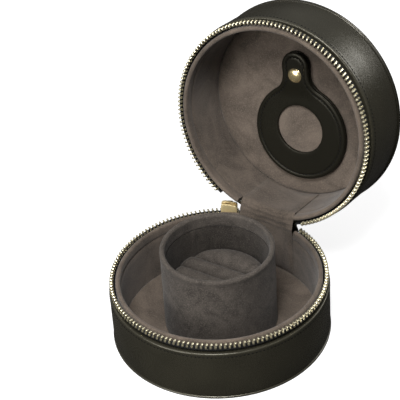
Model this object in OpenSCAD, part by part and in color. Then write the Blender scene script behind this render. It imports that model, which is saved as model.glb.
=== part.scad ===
// Round zipped travel case for a wristwatch, with a cuff that the strap goes
// round, four ring rolls in the cuff and a tag holder on the lid's ceiling.
// The origin is the centre of the underside, +Z is up, the hinge is at +Y.
// Lid pieces are drawn closed and turned open by lid_place().

/* [Case] */
// Outer radius of the leather wall
case_r = 55; // [48:0.5:70]
// Height of the base's wall up to its leather edge
base_h = 28.3; // [24:0.1:45]
// Height of the lid's wall leather
lid_h = 27.2; // [22:0.1:45]
// Distance between the two leather edges when closed
zip_gap = 11; // [10.4:0.1:13]
// Thickness of the wall leather
leather_t = 1.2; // [0.8:0.05:1.6]
// Thickness of the stiff board in the walls
board_t = 1.6; // [1:0.1:2.2]
// Thickness of the padded suede lining of the walls
lining_t = 2.3; // [1.6:0.1:3.2]
// Height of the rolled suede collar over the leather's edge
collar_h = 5; // [3:0.1:5.2]
// Thickness of the underside's leather disc
bottom_t = 1.5; // [1:0.1:2.5]
// How far the underside's disc stands proud of the wall
bottom_proud = 0.3; // [0.1:0.05:0.6]
// Thickness of the floor's board
floor_board_t = 1.6; // [1:0.1:2.5]
// Thickness of the floor's foam
floor_foam_t = 1.2; // [0.6:0.1:4]
// Thickness of the suede on the floor and the ceiling
suede_t = 0.7; // [0.5:0.05:1.2]

/* [Lid top] */
// Thickness of the lid's top board
top_board_t = 1.5; // [1:0.1:2.5]
// Thickness of the foam behind the ceiling's suede
ceiling_foam_t = 1; // [0.5:0.1:3]
// Rise of the padded top over its stitched seam
dome_h = 7.1; // [3:0.1:12]
// Thickness of the top's leather
top_leather_t = 0.9; // [0.6:0.05:1.4]
// Distance from the wall's outside to the top's stitched seam
seam_inset = 2.4; // [1.8:0.1:4]
// Height of the welt between the wall and the top
welt_h = 2.5; // [1.8:0.1:4]
// How far the welt stands proud of the wall
welt_proud = 0.5; // [0.2:0.05:1]

/* [Zipper] */
// Thickness of the zipper tape
tape_t = 0.6; // [0.4:0.05:0.8]
// Height of tape held between board and lining
tape_grip = 8.3; // [4:0.1:12]
// Distance from the wall's outside to the middle of the teeth
tooth_inset = 1.37; // [1.2:0.01:1.6]
// Height of a tooth
tooth_h = 2.2; // [1.8:0.05:2.6]
// Radial depth of a tooth
tooth_d = 1.5; // [1.2:0.05:1.6]
// Width of a tooth at its legs
tooth_w = 1.1; // [0.8:0.05:1.3]
// Angle from one tooth to the next
tooth_step = 2.4; // [2:0.1:3.2]
// Height of a tooth that sits over the tape's edge
tooth_bite = 0.8; // [0.5:0.05:1.2]
// Gap between the two rows' tips when closed
tooth_clear = 0.3; // [0.2:0.05:0.5]
// Angle from the hinge's middle to the first teeth
zip_start = 20.4; // [19.8:0.1:26]
// Angle from the hinge's middle to the lid's first teeth beside the parked slider
lid_zip_start = 31.2; // [30.8:0.1:36]

/* [Slider] */
// Angle from the hinge's middle to the parked slider
slider_park = 25.5; // [25.2:0.1:25.8]
// Length of the slider
slider_len = 8.4; // [7:0.1:8.8]
// Half height of the slider's shoulders
slider_wide = 3.7; // [3.4:0.05:3.8]
// Half height of the slider's narrow end
slider_narrow = 2.7; // [2.3:0.05:2.8]
// Thickness of the slider's inner plate
slider_in_t = 0.8; // [0.6:0.05:0.85]
// Thickness of the slider's outer plate
slider_out_t = 1; // [0.7:0.05:1.4]
// Gap from the slider to the teeth and the lining
slider_clear = 0.3; // [0.15:0.05:0.3]
// Thickness of the post that parts the rows
post_t = 0.7; // [0.5:0.05:0.8]
// Height of the bridge over the outer plate
bridge_h = 2.9; // [2.7:0.1:4]
// Radius of the bridge's bar
bar_r = 0.7; // [0.5:0.05:0.8]
// Radial gap between the bar and the pull's eye
eye_clear = 0.08; // [0.05:0.01:0.1]
// Wall of the pull's eye
eye_wall = 0.75; // [0.5:0.05:0.9]
// Length of the pull's leather tab
pull_len = 19; // [12:0.5:22]
// Width of the pull's leather tab
pull_w = 7; // [5:0.1:9]
// Thickness of the pull's leather tab
pull_t = 2.2; // [1.8:0.1:3]

/* [Hinge] */
// How far the lid stands open
lid_open = 99.45; // [90:0.05:104]
// Distance from the wall's outside in to the hinge line
hinge_inset = 4.88; // [4.6:0.02:5.2]
// Height of the hinge line over the middle of the seam
hinge_rise = 4.87; // [4.6:0.02:5.1]
// Half width of the hinge strips
strip_half_w = 15.5; // [10:0.5:16]
// Thickness of the outer leather strip
strip_t = 0.9; // [0.6:0.05:1]
// Thickness of the inner suede strip
inner_strip_t = 1; // [0.6:0.05:1.2]
// How far the outer strip reaches over each wall
strip_reach = 12.3; // [6:0.1:16]
// Gap between the inner strip's ends and the floor and the ceiling
inner_foot = 1.2; // [0.8:0.1:6]

/* [Cuff] */
// Outer radius of the cuff
cuff_r = 28.5; // [24:0.1:32]
// Height of the cuff over the floor
cuff_h = 45.2; // [34:0.1:50]
// Thickness of the cuff's suede
cuff_suede_t = 0.7; // [0.5:0.05:1]
// Thickness of the cuff's stiff core
cuff_core_t = 1.2; // [0.8:0.1:2]
// Depth of the suede turned in over the cuff's rim
cuff_hem = 6; // [3:0.5:10]
// Thickness of the cuff's bottom disc
cuff_disc_t = 1.2; // [0.8:0.1:3]
// Position of the inner sleeve's seam
cuff_seam_at = 150; // [0:1:359]
// Width of the inner sleeve's seam
cuff_seam_w = 4; // [2:0.1:8]

/* [Ring rolls] */
// Height of the rolls' crown over the cuff's bottom disc
roll_h = 26.8; // [18:0.1:34]
// Distance between the slits
roll_pitch = 9; // [7:0.1:11]
// Width of a slit
slit_w = 0.6; // [0.4:0.05:1.2]
// Gap between the rolls and the cuff
roll_clear = 0.6; // [0.3:0.05:1]
// Drop from the crown to the rolls' shoulders
roll_crown = 5; // [3:0.1:7]

/* [Tag holder] */
// Radius of the holder's round end
holder_r = 26; // [23:0.1:29]
// Radius of the holder's window
window_r = 13; // [8:0.1:14.5]
// How far the window's middle lies towards the neck
window_drop = 1.8; // [0:0.1:3]
// Half width of the neck
neck_half_w = 7.5; // [6:0.1:9]
// Distance from the round end's middle to the neck's tip
neck_reach = 43.6; // [38:0.1:46]
// Radius of the fillets between the neck and the round end
neck_fillet = 10; // [3:0.1:12]
// Distance from the neck's tip to the snap
snap_inset = 12.2; // [8.6:0.1:12.6]
// Least distance from the neck's root to the snap
snap_margin = 0.5; // [0.3:0.1:1.5]
// Sideways place of the round end's middle
holder_x = 2.9; // [0:0.1:4]
// Place of the round end's middle towards the hinge
holder_y = 13.5; // [8:0.1:16]
// Turn of the neck from straight out
holder_turn = 8.2; // [0:0.1:15]
// Thickness of the holder's leather
holder_t = 1.3; // [0.9:0.05:1.8]
// Depth of the slot between the holder's two leathers
slot_d = 0.3; // [0.2:0.05:1]
// Width of the stitched border round the slot
border_w = 4; // [3:0.1:6]
// Radius of the snap's cap
snap_r = 3.8; // [3:0.1:5]
// Rise of the snap's cap
snap_h = 1.5; // [1:0.1:2.2]
// Thickness of the snap's socket
socket_h = 1.2; // [0.9:0.05:1.6]

/* [Hidden] */
$fn = 96;

// Fine offset that keeps cuts from sharing a face
e = 0.01;

// Radii from the outside in: leather, board, tape, lining
board_r = case_r - leather_t;
tape_r = board_r - board_t;
lining_r = tape_r - tape_t;
inner_r = lining_r - lining_t;
tooth_r = case_r - tooth_inset;

// Heights in the base
bottom_board_z = bottom_t;
floor_board_z = bottom_board_z + floor_board_t;
floor_suede_z = floor_board_z + floor_foam_t;
floor_z = floor_suede_z + suede_t;
edge_fold = leather_t * 0.6;

// Heights in the closed lid
seam_z = base_h + zip_gap / 2;
lid_edge_z = base_h + zip_gap;
lid_top_z = lid_edge_z + lid_h;
ceiling_foam_z = lid_top_z - ceiling_foam_t;
ceiling_z = ceiling_foam_z - suede_t;
top_board_z = lid_top_z + top_board_t;
seam_r = case_r - seam_inset;
foam_r = seam_r - 1;

// Hinge line
hinge_y = case_r - hinge_inset;
hinge_z = seam_z + hinge_rise;
hinge_clear = 0.3;
strip_r = case_r + hinge_clear + strip_t / 2;
inner_strip_r = inner_r - hinge_clear - inner_strip_t / 2;

// The linings are cut back behind the strips
notch_half = zip_start - 0.9;
base_notch_z = base_h + 1.5;
lid_notch_z = lid_edge_z + 0.2;

// Zipper: the tape stands up behind the teeth
tape_end = zip_start - 1.4;
lid_tape_end = lid_zip_start - 0.7;
tooth_z = seam_z - tooth_clear / 2 - tooth_h;
tape_top = tooth_z + tooth_bite;

// Slider: a curved inner and outer plate on the teeth's circle
slider_in_r = lining_r + slider_clear / 2;
slider_out_r = tooth_r + tooth_d / 2 + slider_clear;
slider_flange_r = tooth_r + tape_t / 2 + slider_clear / 2;
bar_z = seam_z;
bar_at = slider_out_r + slider_out_t + bridge_h - bar_r;
eye_r = bar_r + eye_clear + eye_wall;
eye_half = 1.3;
shank_t = 0.8;
shank_len = 5;
shank_half = 1.5;
shank_sunk = 3;

// Cuff
core_r = cuff_r - cuff_suede_t;
core_in_r = core_r - cuff_core_t;
cuff_in_r = core_in_r - cuff_suede_t;
cuff_mid_r = (cuff_r + cuff_in_r) / 2;
cuff_rim = (cuff_r - cuff_in_r) / 2;
cuff_top = floor_z + cuff_h;
rim_z = cuff_top - cuff_rim;
disc_z = floor_z + cuff_disc_t;
roll_r = cuff_in_r - roll_clear;
roll_top = disc_z + roll_h;

// Tag holder, measured down from the ceiling
front_z = holder_t;
front_out = front_z + slot_d + holder_t;
tab_in = front_z + socket_h + 0.1;
tab_out = tab_in + holder_t;
tab_hinge_v = sqrt(holder_r * holder_r - neck_half_w * neck_half_w);
tab_gap = 0.3;
snap_at = max(neck_reach - snap_inset, tab_hinge_v + tab_gap + snap_r + snap_margin);

function sup(t, n) = pow(1 - pow(abs(t), n), 1 / n);
function dome(r, rim, h) = h * pow(1 - pow(min(r / rim, 1), 2.6), 0.5);
function open_y(y, z) = hinge_y + (y - hinge_y) * cos(lid_open) + (z - hinge_z) * sin(lid_open);
function open_z(y, z) = hinge_z - (y - hinge_y) * sin(lid_open) + (z - hinge_z) * cos(lid_open);
function bez(a, b, c, d, t) =
    a * pow(1 - t, 3) + b * 3 * t * pow(1 - t, 2) + c * 3 * t * t * (1 - t) + d * pow(t, 3);
function unit(v) = v / norm(v);

module lid_place() {
    translate([0, hinge_y, hinge_z])
        rotate([-lid_open, 0, 0])
            translate([0, -hinge_y, -hinge_z])
                children();
}

module ring(r_out, r_in, z0, z1) {
    rotate_extrude()
        translate([r_in, z0])
            square([r_out - r_in, z1 - z0]);
}

// A sector of a revolve, round the front, that stops short of the hinge by an angle on each side
module round_front(left, right) {
    rotate([0, 0, 90 + left])
        rotate_extrude(angle = 360 - left - right)
            children();
}

// Base: underside, floor and wall
module base_bottom_cover() {
    color("#23221f")
        rotate_extrude() {
            square([case_r + bottom_proud - bottom_t / 2, bottom_t]);
            translate([case_r + bottom_proud - bottom_t / 2, bottom_t / 2])
                circle(bottom_t / 2);
        }
}

module base_bottom_board() {
    color("#6b6250")
        translate([0, 0, bottom_board_z])
            cylinder(r = board_r, h = floor_board_t);
}

module base_wall_board() {
    color("#6b6250") ring(board_r, tape_r, floor_board_z, base_h - edge_fold);
}

// Wall leather with its edge turned over the board
module wall_section(h) {
    round_r = leather_t / 2;
    translate([board_r, 0]) square([leather_t, h - round_r]);
    translate([tape_r, h - edge_fold]) square([case_r - round_r - tape_r, edge_fold]);
    translate([case_r - round_r, h - round_r]) circle(round_r);
}

module base_wall_leather() {
    color("#262523")
        translate([0, 0, bottom_t])
            rotate_extrude() wall_section(base_h - bottom_t);
}

// Lining that steps in where the tape is held, with a rolled collar at its edge,
// cut back behind the hinge strips
module lining_shape(foot, notch) {
    step = base_h - tape_grip - 0.2;
    roll = lining_t / 2;
    top = base_h + collar_h;
    difference() {
        rotate_extrude()
            difference() {
                union() {
                    translate([inner_r, foot]) square([lining_t + tape_t, top - roll - foot]);
                    translate([inner_r + roll, top - roll]) circle(roll);
                }
                translate([lining_r, step]) square([tape_t + 1, top - step]);
            }
        rotate([0, 0, 90 - notch_half])
            rotate_extrude(angle = 2 * notch_half)
                translate([inner_r - 2, notch]) square([lining_t + 4, top - notch + 2]);
    }
}

module base_wall_lining() {
    color("#7a7068") lining_shape(floor_board_z, base_notch_z);
}

module base_floor_foam() {
    color("#8d8a80")
        translate([0, 0, floor_board_z])
            cylinder(r = inner_r, h = floor_foam_t);
}

module base_floor_lining() {
    color("#57504a")
        translate([0, 0, floor_suede_z])
            cylinder(r = inner_r, h = suede_t);
}

// Zipper tape: held behind the board, then out and up behind the teeth
module tape_section() {
    lean = tooth_r - tape_t / 2 - lining_r;
    polygon([
        [lining_r, base_h - tape_grip],
        [tape_r, base_h - tape_grip],
        [tape_r, base_h],
        [tape_r + lean, base_h + lean],
        [tape_r + lean, tape_top],
        [lining_r + lean, tape_top],
        [lining_r + lean, base_h + lean + tape_t * 0.4],
        [lining_r, base_h + tape_t * 0.4]
    ]);
}

module tooth() {
    head = tooth_w * 0.86 / 2;
    leg = tooth_w / 2;
    translate([tooth_r - tooth_d / 2, 0, tooth_z])
        rotate([90, 0, 90])
            linear_extrude(tooth_d)
                polygon([
                    [-leg, 0], [leg, 0], [leg, tooth_h * 0.42], [leg * 0.7, tooth_h * 0.6],
                    [head, tooth_h], [-head, tooth_h], [-leg * 0.7, tooth_h * 0.6],
                    [-leg, tooth_h * 0.42]
                ]);
}

module tooth_row(left, right) {
    count = floor((360 - left - right) / tooth_step);
    for (k = [0 : count])
        rotate([0, 0, 90 + left + k * tooth_step])
            tooth();
}

module lower_zipper_tape() {
    color("#141414") round_front(tape_end, tape_end) tape_section();
}

module lower_zipper_teeth() {
    color("#c9ab6b") tooth_row(zip_start, zip_start);
}

// Cuff that the watch strap goes round
module cuff_core() {
    color("#6b6250") ring(core_r, core_in_r, floor_z, rim_z);
}

module cuff_outer_sleeve() {
    color("#4a4744")
        rotate_extrude()
            difference() {
                union() {
                    translate([core_r, floor_z]) square([cuff_suede_t, rim_z - floor_z]);
                    translate([cuff_mid_r, rim_z]) circle(cuff_rim);
                    translate([cuff_in_r, rim_z - cuff_hem]) square([cuff_suede_t, cuff_hem]);
                }
                translate([core_in_r, floor_z]) square([cuff_core_t, rim_z - floor_z]);
            }
}

module cuff_inner_sleeve() {
    top = rim_z - cuff_hem;
    half = cuff_seam_w / 2 / cuff_in_r * 180 / PI;
    color("#45423f") {
        ring(core_in_r, cuff_in_r, disc_z, top);
        rotate([0, 0, cuff_seam_at - half])
            rotate_extrude(angle = 2 * half)
                translate([cuff_in_r - 0.4, disc_z])
                    square([0.5, top - disc_z]);
    }
}

module cuff_disc() {
    color("#57504a")
        translate([0, 0, floor_z])
            cylinder(r = core_in_r, h = cuff_disc_t);
}

// Ring rolls: crowned across their width and drawn in to the cuff
module roll(y0, y1) {
    flank = roll_top - roll_crown;
    half = (y1 - y0) / 2;
    mid = (y0 + y1) / 2;
    steps = 12;
    intersection() {
        rotate([90, 0, 90])
            translate([0, 0, -roll_r])
                linear_extrude(2 * roll_r)
                    polygon(concat(
                        [[y1, disc_z], [y1, flank]],
                        [for (i = [1 : steps - 1]) let (t = 1 - 2 * i / steps)
                            [mid + half * t, flank + roll_crown * sup(t, 2.2)]],
                        [[y0, flank], [y0, disc_z]]
                    ));
        rotate_extrude()
            polygon(concat(
                [[0, disc_z], [roll_r - 0.8, disc_z], [roll_r, disc_z + 2], [roll_r, flank - 1]],
                [for (i = [1 : 8]) let (t = 1 - i / 8)
                    [roll_r * t, flank - 1 + (roll_crown + 1) * sup(t, 4)]]
            ));
    }
}

module ring_roll_1() {
    color("#5b5650") roll(roll_pitch + slit_w / 2, roll_r);
}

module ring_roll_2() {
    color("#5b5650") roll(slit_w / 2, roll_pitch - slit_w / 2);
}

module ring_roll_3() {
    color("#5b5650") roll(-roll_pitch + slit_w / 2, -slit_w / 2);
}

module ring_roll_4() {
    color("#5b5650") roll(-roll_r, -roll_pitch - slit_w / 2);
}

// Hinge strips: lofted across their width from the base's wall to the open lid's
function strip_path(x, r, z0, za, zb, z1, k1, k2, n) =
    let (
        y = sqrt(r * r - x * x),
        a = [y, za],
        b = [open_y(y, zb), open_z(y, zb)],
        t = [-sin(lid_open), -cos(lid_open)]
    )
    concat(
        [[y, z0], [y, (z0 + za) / 2]],
        [for (i = [0 : n]) bez(a, a + [0, k1], b + t * k2, b, i / n)],
        [[open_y(y, (zb + z1) / 2), open_z(y, (zb + z1) / 2)], [open_y(y, z1), open_z(y, z1)]]
    );

function side(path, d) =
    let (last = len(path) - 1)
    [for (i = [0 : last])
        let (
            t = unit(path[min(i + 1, last)] - path[max(i - 1, 0)])
        )
        path[i] + [t[1], -t[0]] * d];

module strip(r, t, z0, za, zb, z1, k1, k2) {
    n = 16;
    across = 10;
    rings = [for (j = [0 : across])
        let (
            x = strip_half_w * (2 * j / across - 1),
            p = strip_path(x, r, z0, za, zb, z1, k1, k2, n),
            a = side(p, t / 2),
            b = side(p, -t / 2),
            m = len(p)
        )
        concat(
            [for (q = a) [x, q[0], q[1]]],
            [for (i = [m - 1 : -1 : 0]) [x, b[i][0], b[i][1]]]
        )];
    c = len(rings[0]);
    m = c / 2;
    polyhedron(
        points = [for (ringpts = rings) for (q = ringpts) q],
        faces = concat(
            [for (j = [0 : across - 1]) for (i = [0 : c - 1]) let (k = (i + 1) % c)
                [j * c + i, j * c + k, (j + 1) * c + k]],
            [for (j = [0 : across - 1]) for (i = [0 : c - 1]) let (k = (i + 1) % c)
                [j * c + i, (j + 1) * c + k, (j + 1) * c + i]],
            [for (i = [0 : m - 2]) [i + 1, i, c - 1 - i]],
            [for (i = [0 : m - 2]) [i + 1, c - 1 - i, c - 2 - i]],
            [for (i = [0 : m - 2]) let (o = across * c) [o + i, o + i + 1, o + c - 1 - i]],
            [for (i = [0 : m - 2]) let (o = across * c) [o + i + 1, o + c - 2 - i, o + c - 1 - i]]
        )
    );
}

module hinge_leather() {
    color("#262523")
        strip(strip_r, strip_t, base_h - strip_reach, base_h - 0.3, lid_edge_z + 2.7,
            lid_edge_z + strip_reach, 2.5, 3.5);
}

module hinge_lining() {
    color("#7a7068")
        strip(inner_strip_r, inner_strip_t, floor_z + inner_foot, base_notch_z + 0.7,
            lid_edge_z + 0.2, ceiling_z - inner_foot, 5, 3);
}

// Closed lid: the wall repeats the base's, turned over at the seam
module over_seam() {
    translate([0, 0, 2 * seam_z])
        mirror([0, 0, 1])
            children();
}

module lid_wall_leather() {
    color("#262523")
        lid_place()
            translate([0, 0, lid_top_z])
                mirror([0, 0, 1])
                    rotate_extrude() wall_section(lid_h);
}

module lid_wall_board() {
    color("#6b6250")
        lid_place()
            ring(board_r, tape_r, lid_edge_z + edge_fold, lid_top_z);
}

module lid_wall_lining() {
    color("#7a7068")
        lid_place()
            over_seam()
                lining_shape(2 * seam_z - lid_top_z, 2 * seam_z - lid_notch_z);
}

module lid_ceiling_lining() {
    color("#57504a")
        lid_place()
            translate([0, 0, ceiling_z])
                cylinder(r = inner_r, h = suede_t);
}

module lid_ceiling_foam() {
    color("#8d8a80")
        lid_place()
            translate([0, 0, ceiling_foam_z])
                cylinder(r = inner_r, h = ceiling_foam_t);
}

module lid_top_board() {
    color("#6b6250")
        lid_place()
            translate([0, 0, lid_top_z])
                cylinder(r = board_r, h = top_board_t);
}

// Padded top: foam crown, leather over it and a welt round the seam
function foam_line(n) = [for (i = [0 : n]) let (r = foam_r * sin(90 * (1 - i / n)))
    [r, top_board_z + dome(r, foam_r, dome_h)]];

function skin_line(n) = [for (i = [0 : n]) let (r = seam_r * sin(90 * i / n))
    [r, top_board_z + top_leather_t + dome(r, seam_r, dome_h)]];

module lid_top_foam() {
    color("#8d8a80")
        lid_place()
            rotate_extrude()
                polygon(concat([[0, top_board_z]], foam_line(14)));
}

module lid_top_leather() {
    color("#2b2a28")
        lid_place()
            rotate_extrude()
                polygon(concat(
                    skin_line(14),
                    [[board_r, top_board_z + top_leather_t], [board_r, top_board_z]],
                    foam_line(14)
                ));
}

module lid_welt() {
    bead = welt_h / 4;
    color("#1d1c1b")
        lid_place()
            rotate_extrude() {
                translate([board_r, lid_top_z])
                    square([leather_t + welt_proud - bead, welt_h]);
                for (k = [1, 3])
                    translate([case_r + welt_proud - bead, lid_top_z + k * bead]) circle(bead);
            }
}

module upper_zipper_tape() {
    color("#141414")
        lid_place()
            over_seam()
                round_front(lid_tape_end, tape_end) tape_section();
}

module upper_zipper_teeth() {
    skip = ceil((lid_zip_start - zip_start) / tooth_step - 0.5) + 0.5;
    color("#c9ab6b")
        lid_place()
            over_seam()
                tooth_row(zip_start + skip * tooth_step, zip_start + 0.5 * tooth_step);
}

// Tag holder: a round pocket with a neck that a snapped tab covers
module holder_place() {
    lid_place()
        translate([holder_x, holder_y, ceiling_z])
            rotate([0, 0, -holder_turn])
                mirror([0, 0, 1])
                    children();
}

function arc(cx, cy, r, a0, a1, n) =
    [for (i = [0 : n]) let (a = a0 + (a1 - a0) * i / n) [cx + r * cos(a), cy + r * sin(a)]];

// Outline of the round end, the fillets and the neck's round tip
module keyhole() {
    reach = holder_r + neck_fillet;
    cx = neck_half_w + neck_fillet;
    cy = -sqrt(reach * reach - cx * cx);
    turn = atan2(cy, cx);
    tip = -neck_reach + neck_half_w;
    polygon(concat(
        arc(0, 0, holder_r, turn, 180 - turn, 72),
        arc(-cx, cy, neck_fillet, -turn, 0, 8),
        arc(0, tip, neck_half_w, -180, 0, 24),
        arc(cx, cy, neck_fillet, 180, 180 + turn, 8)
    ));
}

module holder_back() {
    color("#23221f")
        holder_place()
            linear_extrude(holder_t) keyhole();
}

module holder_front() {
    far = 2 * holder_r;
    color("#262523")
        holder_place()
            difference() {
                translate([0, 0, front_z])
                    linear_extrude(slot_d + holder_t)
                        intersection() {
                            keyhole();
                            translate([-far, -tab_hinge_v]) square([2 * far, 2 * far]);
                        }
                translate([0, 0, front_z - e])
                    cylinder(r = holder_r - border_w, h = slot_d + e);
                translate([-neck_half_w + border_w / 2, -far, front_z - e])
                    cube([2 * neck_half_w - border_w, far, slot_d + e]);
                translate([0, -window_drop, front_z - e])
                    cylinder(r = window_r, h = slot_d + holder_t + 2 * e);
            }
}

module holder_tab() {
    far = 2 * holder_r;
    color("#262523")
        holder_place()
            difference() {
                translate([0, 0, tab_in])
                    linear_extrude(holder_t)
                        intersection() {
                            keyhole();
                            translate([-far, -tab_hinge_v - tab_gap - far]) square([2 * far, far]);
                        }
                translate([0, -snap_at, tab_in - e])
                    cylinder(r = snap_r * 0.3, h = holder_t + 2 * e);
            }
}

// Snap: cap and post on the tab, socket behind it, stud on the back leather
module snap_cap() {
    color("#d8bc7c")
        holder_place()
            translate([0, -snap_at, 0])
                rotate_extrude() {
                    translate([0, tab_in]) square([snap_r * 0.3, holder_t + 0.2]);
                    translate([0, tab_out])
                        polygon(concat(
                            [[0, 0], [snap_r - 0.2, 0], [snap_r, 0.3]],
                            [for (i = [1 : 7]) let (t = cos(90 * i / 7))
                                [max(snap_r * t, 0), 0.3 + (snap_h - 0.3) * sin(90 * i / 7)]]
                        ));
                }
}

module snap_socket() {
    color("#c9ab6b")
        holder_place()
            translate([0, -snap_at, tab_in - socket_h])
                difference() {
                    cylinder(r = snap_r * 0.8, h = socket_h);
                    translate([0, 0, -e]) cylinder(r = snap_r * 0.45 + 0.1, h = socket_h * 0.8 + e);
                }
}

module snap_stud() {
    color("#c9ab6b")
        holder_place()
            translate([0, -snap_at, front_z])
                cylinder(r = snap_r * 0.45, h = socket_h * 0.7);
}

// Slider: drawn at +X, wide end towards +Y, then turned to where it parks
module slider_place() {
    rotate([0, 0, 90 + slider_park])
        children();
}

module shield() {
    l = slider_len / 2;
    w = slider_wide;
    n = slider_narrow;
    polygon([
        [-l, -n * 0.75], [-l * 0.86, -n], [0, -w * 0.9], [l * 0.45, -w], [l * 0.86, -w * 0.95],
        [l, -w * 0.7], [l, w * 0.7], [l * 0.86, w * 0.95], [l * 0.45, w], [0, w * 0.9],
        [-l * 0.86, n], [-l, n * 0.75]
    ]);
}

module shield_edges() {
    l = slider_len / 2;
    w = slider_wide;
    lip = 0.55;
    for (s = [-1, 1])
        polygon([
            [0, s * w * 0.9], [l * 0.45, s * w], [l * 0.86, s * w * 0.95],
            [l * 0.86, s * (w * 0.95 - lip)], [l * 0.45, s * (w - lip)], [0, s * (w * 0.9 - lip)]
        ]);
}

module curved(r0, r1) {
    intersection() {
        ring(r1, r0, seam_z - 2 * slider_wide, seam_z + 2 * slider_wide);
        translate([r0 * 0.8, 0, seam_z])
            rotate([90, 0, 90])
                linear_extrude(r1 - r0 * 0.8 + 1)
                    children();
    }
}

module slider_body() {
    post_at = slider_len * 0.35;
    post_low = seam_z + tooth_clear / 2 - 0.05;
    post_top = 2 * seam_z - tape_top - 0.15;
    color("#cfb06c")
        slider_place() {
            curved(slider_in_r, slider_in_r + slider_in_t) shield();
            curved(slider_out_r, slider_out_r + slider_out_t) shield();
            curved(slider_flange_r, slider_out_r + e) shield_edges();
            curved(slider_in_r + slider_in_t - 0.1, slider_out_r + 0.1)
                translate([post_at - post_t / 2, post_low - seam_z])
                    square([post_t, post_top - post_low]);
        }
}

// Bridge: two feet on the outer plate and the round bar between them
module slider_bridge() {
    foot = 1;
    out_r = slider_out_r + slider_out_t;
    half = slider_len * 0.36;
    color("#cfb06c")
        slider_place() {
            translate([bar_at, half, bar_z])
                rotate([90, 0, 0])
                    cylinder(r = bar_r, h = 2 * half);
            for (s = [-1, 1])
                difference() {
                    translate([out_r - 0.5, s * (half - foot / 2) - foot / 2, bar_z - bar_r])
                        cube([bar_at - out_r + 0.5, foot, 2 * bar_r]);
                    translate([0, 0, bar_z - 2])
                        cylinder(r = out_r, h = 4);
                }
        }
}

// Pull: a metal eye on the bar, its shank, and a leather tab that hangs from it
module shank(clear) {
    translate([bar_at - shank_t / 2 - clear, -shank_half - clear, bar_z - eye_r - shank_len])
        cube([shank_t + 2 * clear, 2 * (shank_half + clear), shank_len + eye_wall / 2]);
}

module pull_eye() {
    color("#cfb06c")
        slider_place()
            difference() {
                union() {
                    translate([bar_at, eye_half, bar_z])
                        rotate([90, 0, 0])
                            cylinder(r = eye_r, h = 2 * eye_half);
                    shank(0);
                }
                translate([bar_at, eye_half + 1, bar_z])
                    rotate([90, 0, 0])
                        cylinder(r = bar_r + eye_clear, h = 2 * eye_half + 2);
            }
}

module pull_tab() {
    top = bar_z - eye_r - shank_len + shank_sunk;
    half = pull_w / 2;
    round_r = pull_w * 0.3;
    color("#262523")
        slider_place()
            difference() {
                translate([bar_at - pull_t / 2, 0, top - pull_len])
                    rotate([90, 0, 90])
                        linear_extrude(pull_t) {
                            translate([0, round_r]) circle(round_r);
                            translate([-half + 1, 0]) polygon([
                                [half - 1 - round_r, round_r], [half - 1 + round_r, round_r],
                                [2 * half - 2, half * 2], [2 * half - 2, pull_len - 1.5],
                                [2 * half - 3.2, pull_len], [1.2, pull_len], [0, pull_len - 1.5],
                                [0, half * 2]
                            ]);
                        }
                shank(0);
            }
}

base_bottom_cover();
base_bottom_board();
base_wall_board();
base_wall_leather();
base_wall_lining();
base_floor_foam();
base_floor_lining();
lower_zipper_tape();
lower_zipper_teeth();
cuff_core();
cuff_outer_sleeve();
cuff_inner_sleeve();
cuff_disc();
ring_roll_1();
ring_roll_2();
ring_roll_3();
ring_roll_4();
hinge_leather();
hinge_lining();
lid_wall_leather();
lid_wall_board();
lid_wall_lining();
lid_ceiling_lining();
lid_ceiling_foam();
lid_top_board();
lid_top_foam();
lid_top_leather();
lid_welt();
upper_zipper_tape();
upper_zipper_teeth();
holder_back();
holder_front();
snap_stud();
holder_tab();
snap_cap();
snap_socket();
slider_body();
slider_bridge();
pull_eye();
pull_tab();
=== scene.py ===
import math

import bmesh
import bpy
import numpy as np
from mathutils import Matrix, Vector, noise
from mathutils.geometry import delaunay_2d_cdt


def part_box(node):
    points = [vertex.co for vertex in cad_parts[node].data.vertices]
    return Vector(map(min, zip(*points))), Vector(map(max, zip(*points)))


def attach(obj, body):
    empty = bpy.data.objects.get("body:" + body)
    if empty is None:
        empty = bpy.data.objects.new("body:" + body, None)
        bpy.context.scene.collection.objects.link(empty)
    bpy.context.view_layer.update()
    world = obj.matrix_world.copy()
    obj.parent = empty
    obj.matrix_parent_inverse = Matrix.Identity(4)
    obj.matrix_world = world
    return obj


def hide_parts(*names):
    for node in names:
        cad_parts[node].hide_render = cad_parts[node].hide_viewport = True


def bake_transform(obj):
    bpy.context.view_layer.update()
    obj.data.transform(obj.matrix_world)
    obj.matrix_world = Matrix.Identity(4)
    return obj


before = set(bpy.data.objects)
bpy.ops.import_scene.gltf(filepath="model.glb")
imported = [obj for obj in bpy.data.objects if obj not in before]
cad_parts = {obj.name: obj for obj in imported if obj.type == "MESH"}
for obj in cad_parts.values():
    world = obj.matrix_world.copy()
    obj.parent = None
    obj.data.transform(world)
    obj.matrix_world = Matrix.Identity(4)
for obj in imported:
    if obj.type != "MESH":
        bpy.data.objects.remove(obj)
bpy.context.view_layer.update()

bl_info = {
    "name": "Watch travel case",
    "version": (1, 0, 0),
    "blender": (4, 5, 0),
    "location": "3D View > Sidebar > Travel case",
    "description": "Leather, suede, zipper and brass pieces of a round zipped travel case for a watch",
    "category": "Object",
}

# Lengths inside the makers are in millimetres and angles in degrees, and places
# are those of the closed case. The lid's pieces are turned open as they are finished.
SEAM_Z = 33.8
# The hinge's line, as its place along Y and its height, and its direction from the middle
HINGE = (50.12, 38.67)
HINGE_SIDE = 90.0
LID_OPEN = 99.45
BOARD_FOOT = 1.5
SUEDE_FOOT = 3.1
CEILING_Z = 64.8
HOLDER_AT = (2.9, 13.5, CEILING_Z)
HOLDER_TURN = 8.2
# The weave's length along a tape is measured at this radius
WEAVE_RADIUS = 53.0
# The angles of a lathe's sections, unless it needs others
ROUND = [i * 1.5 for i in range(240)]


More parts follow.
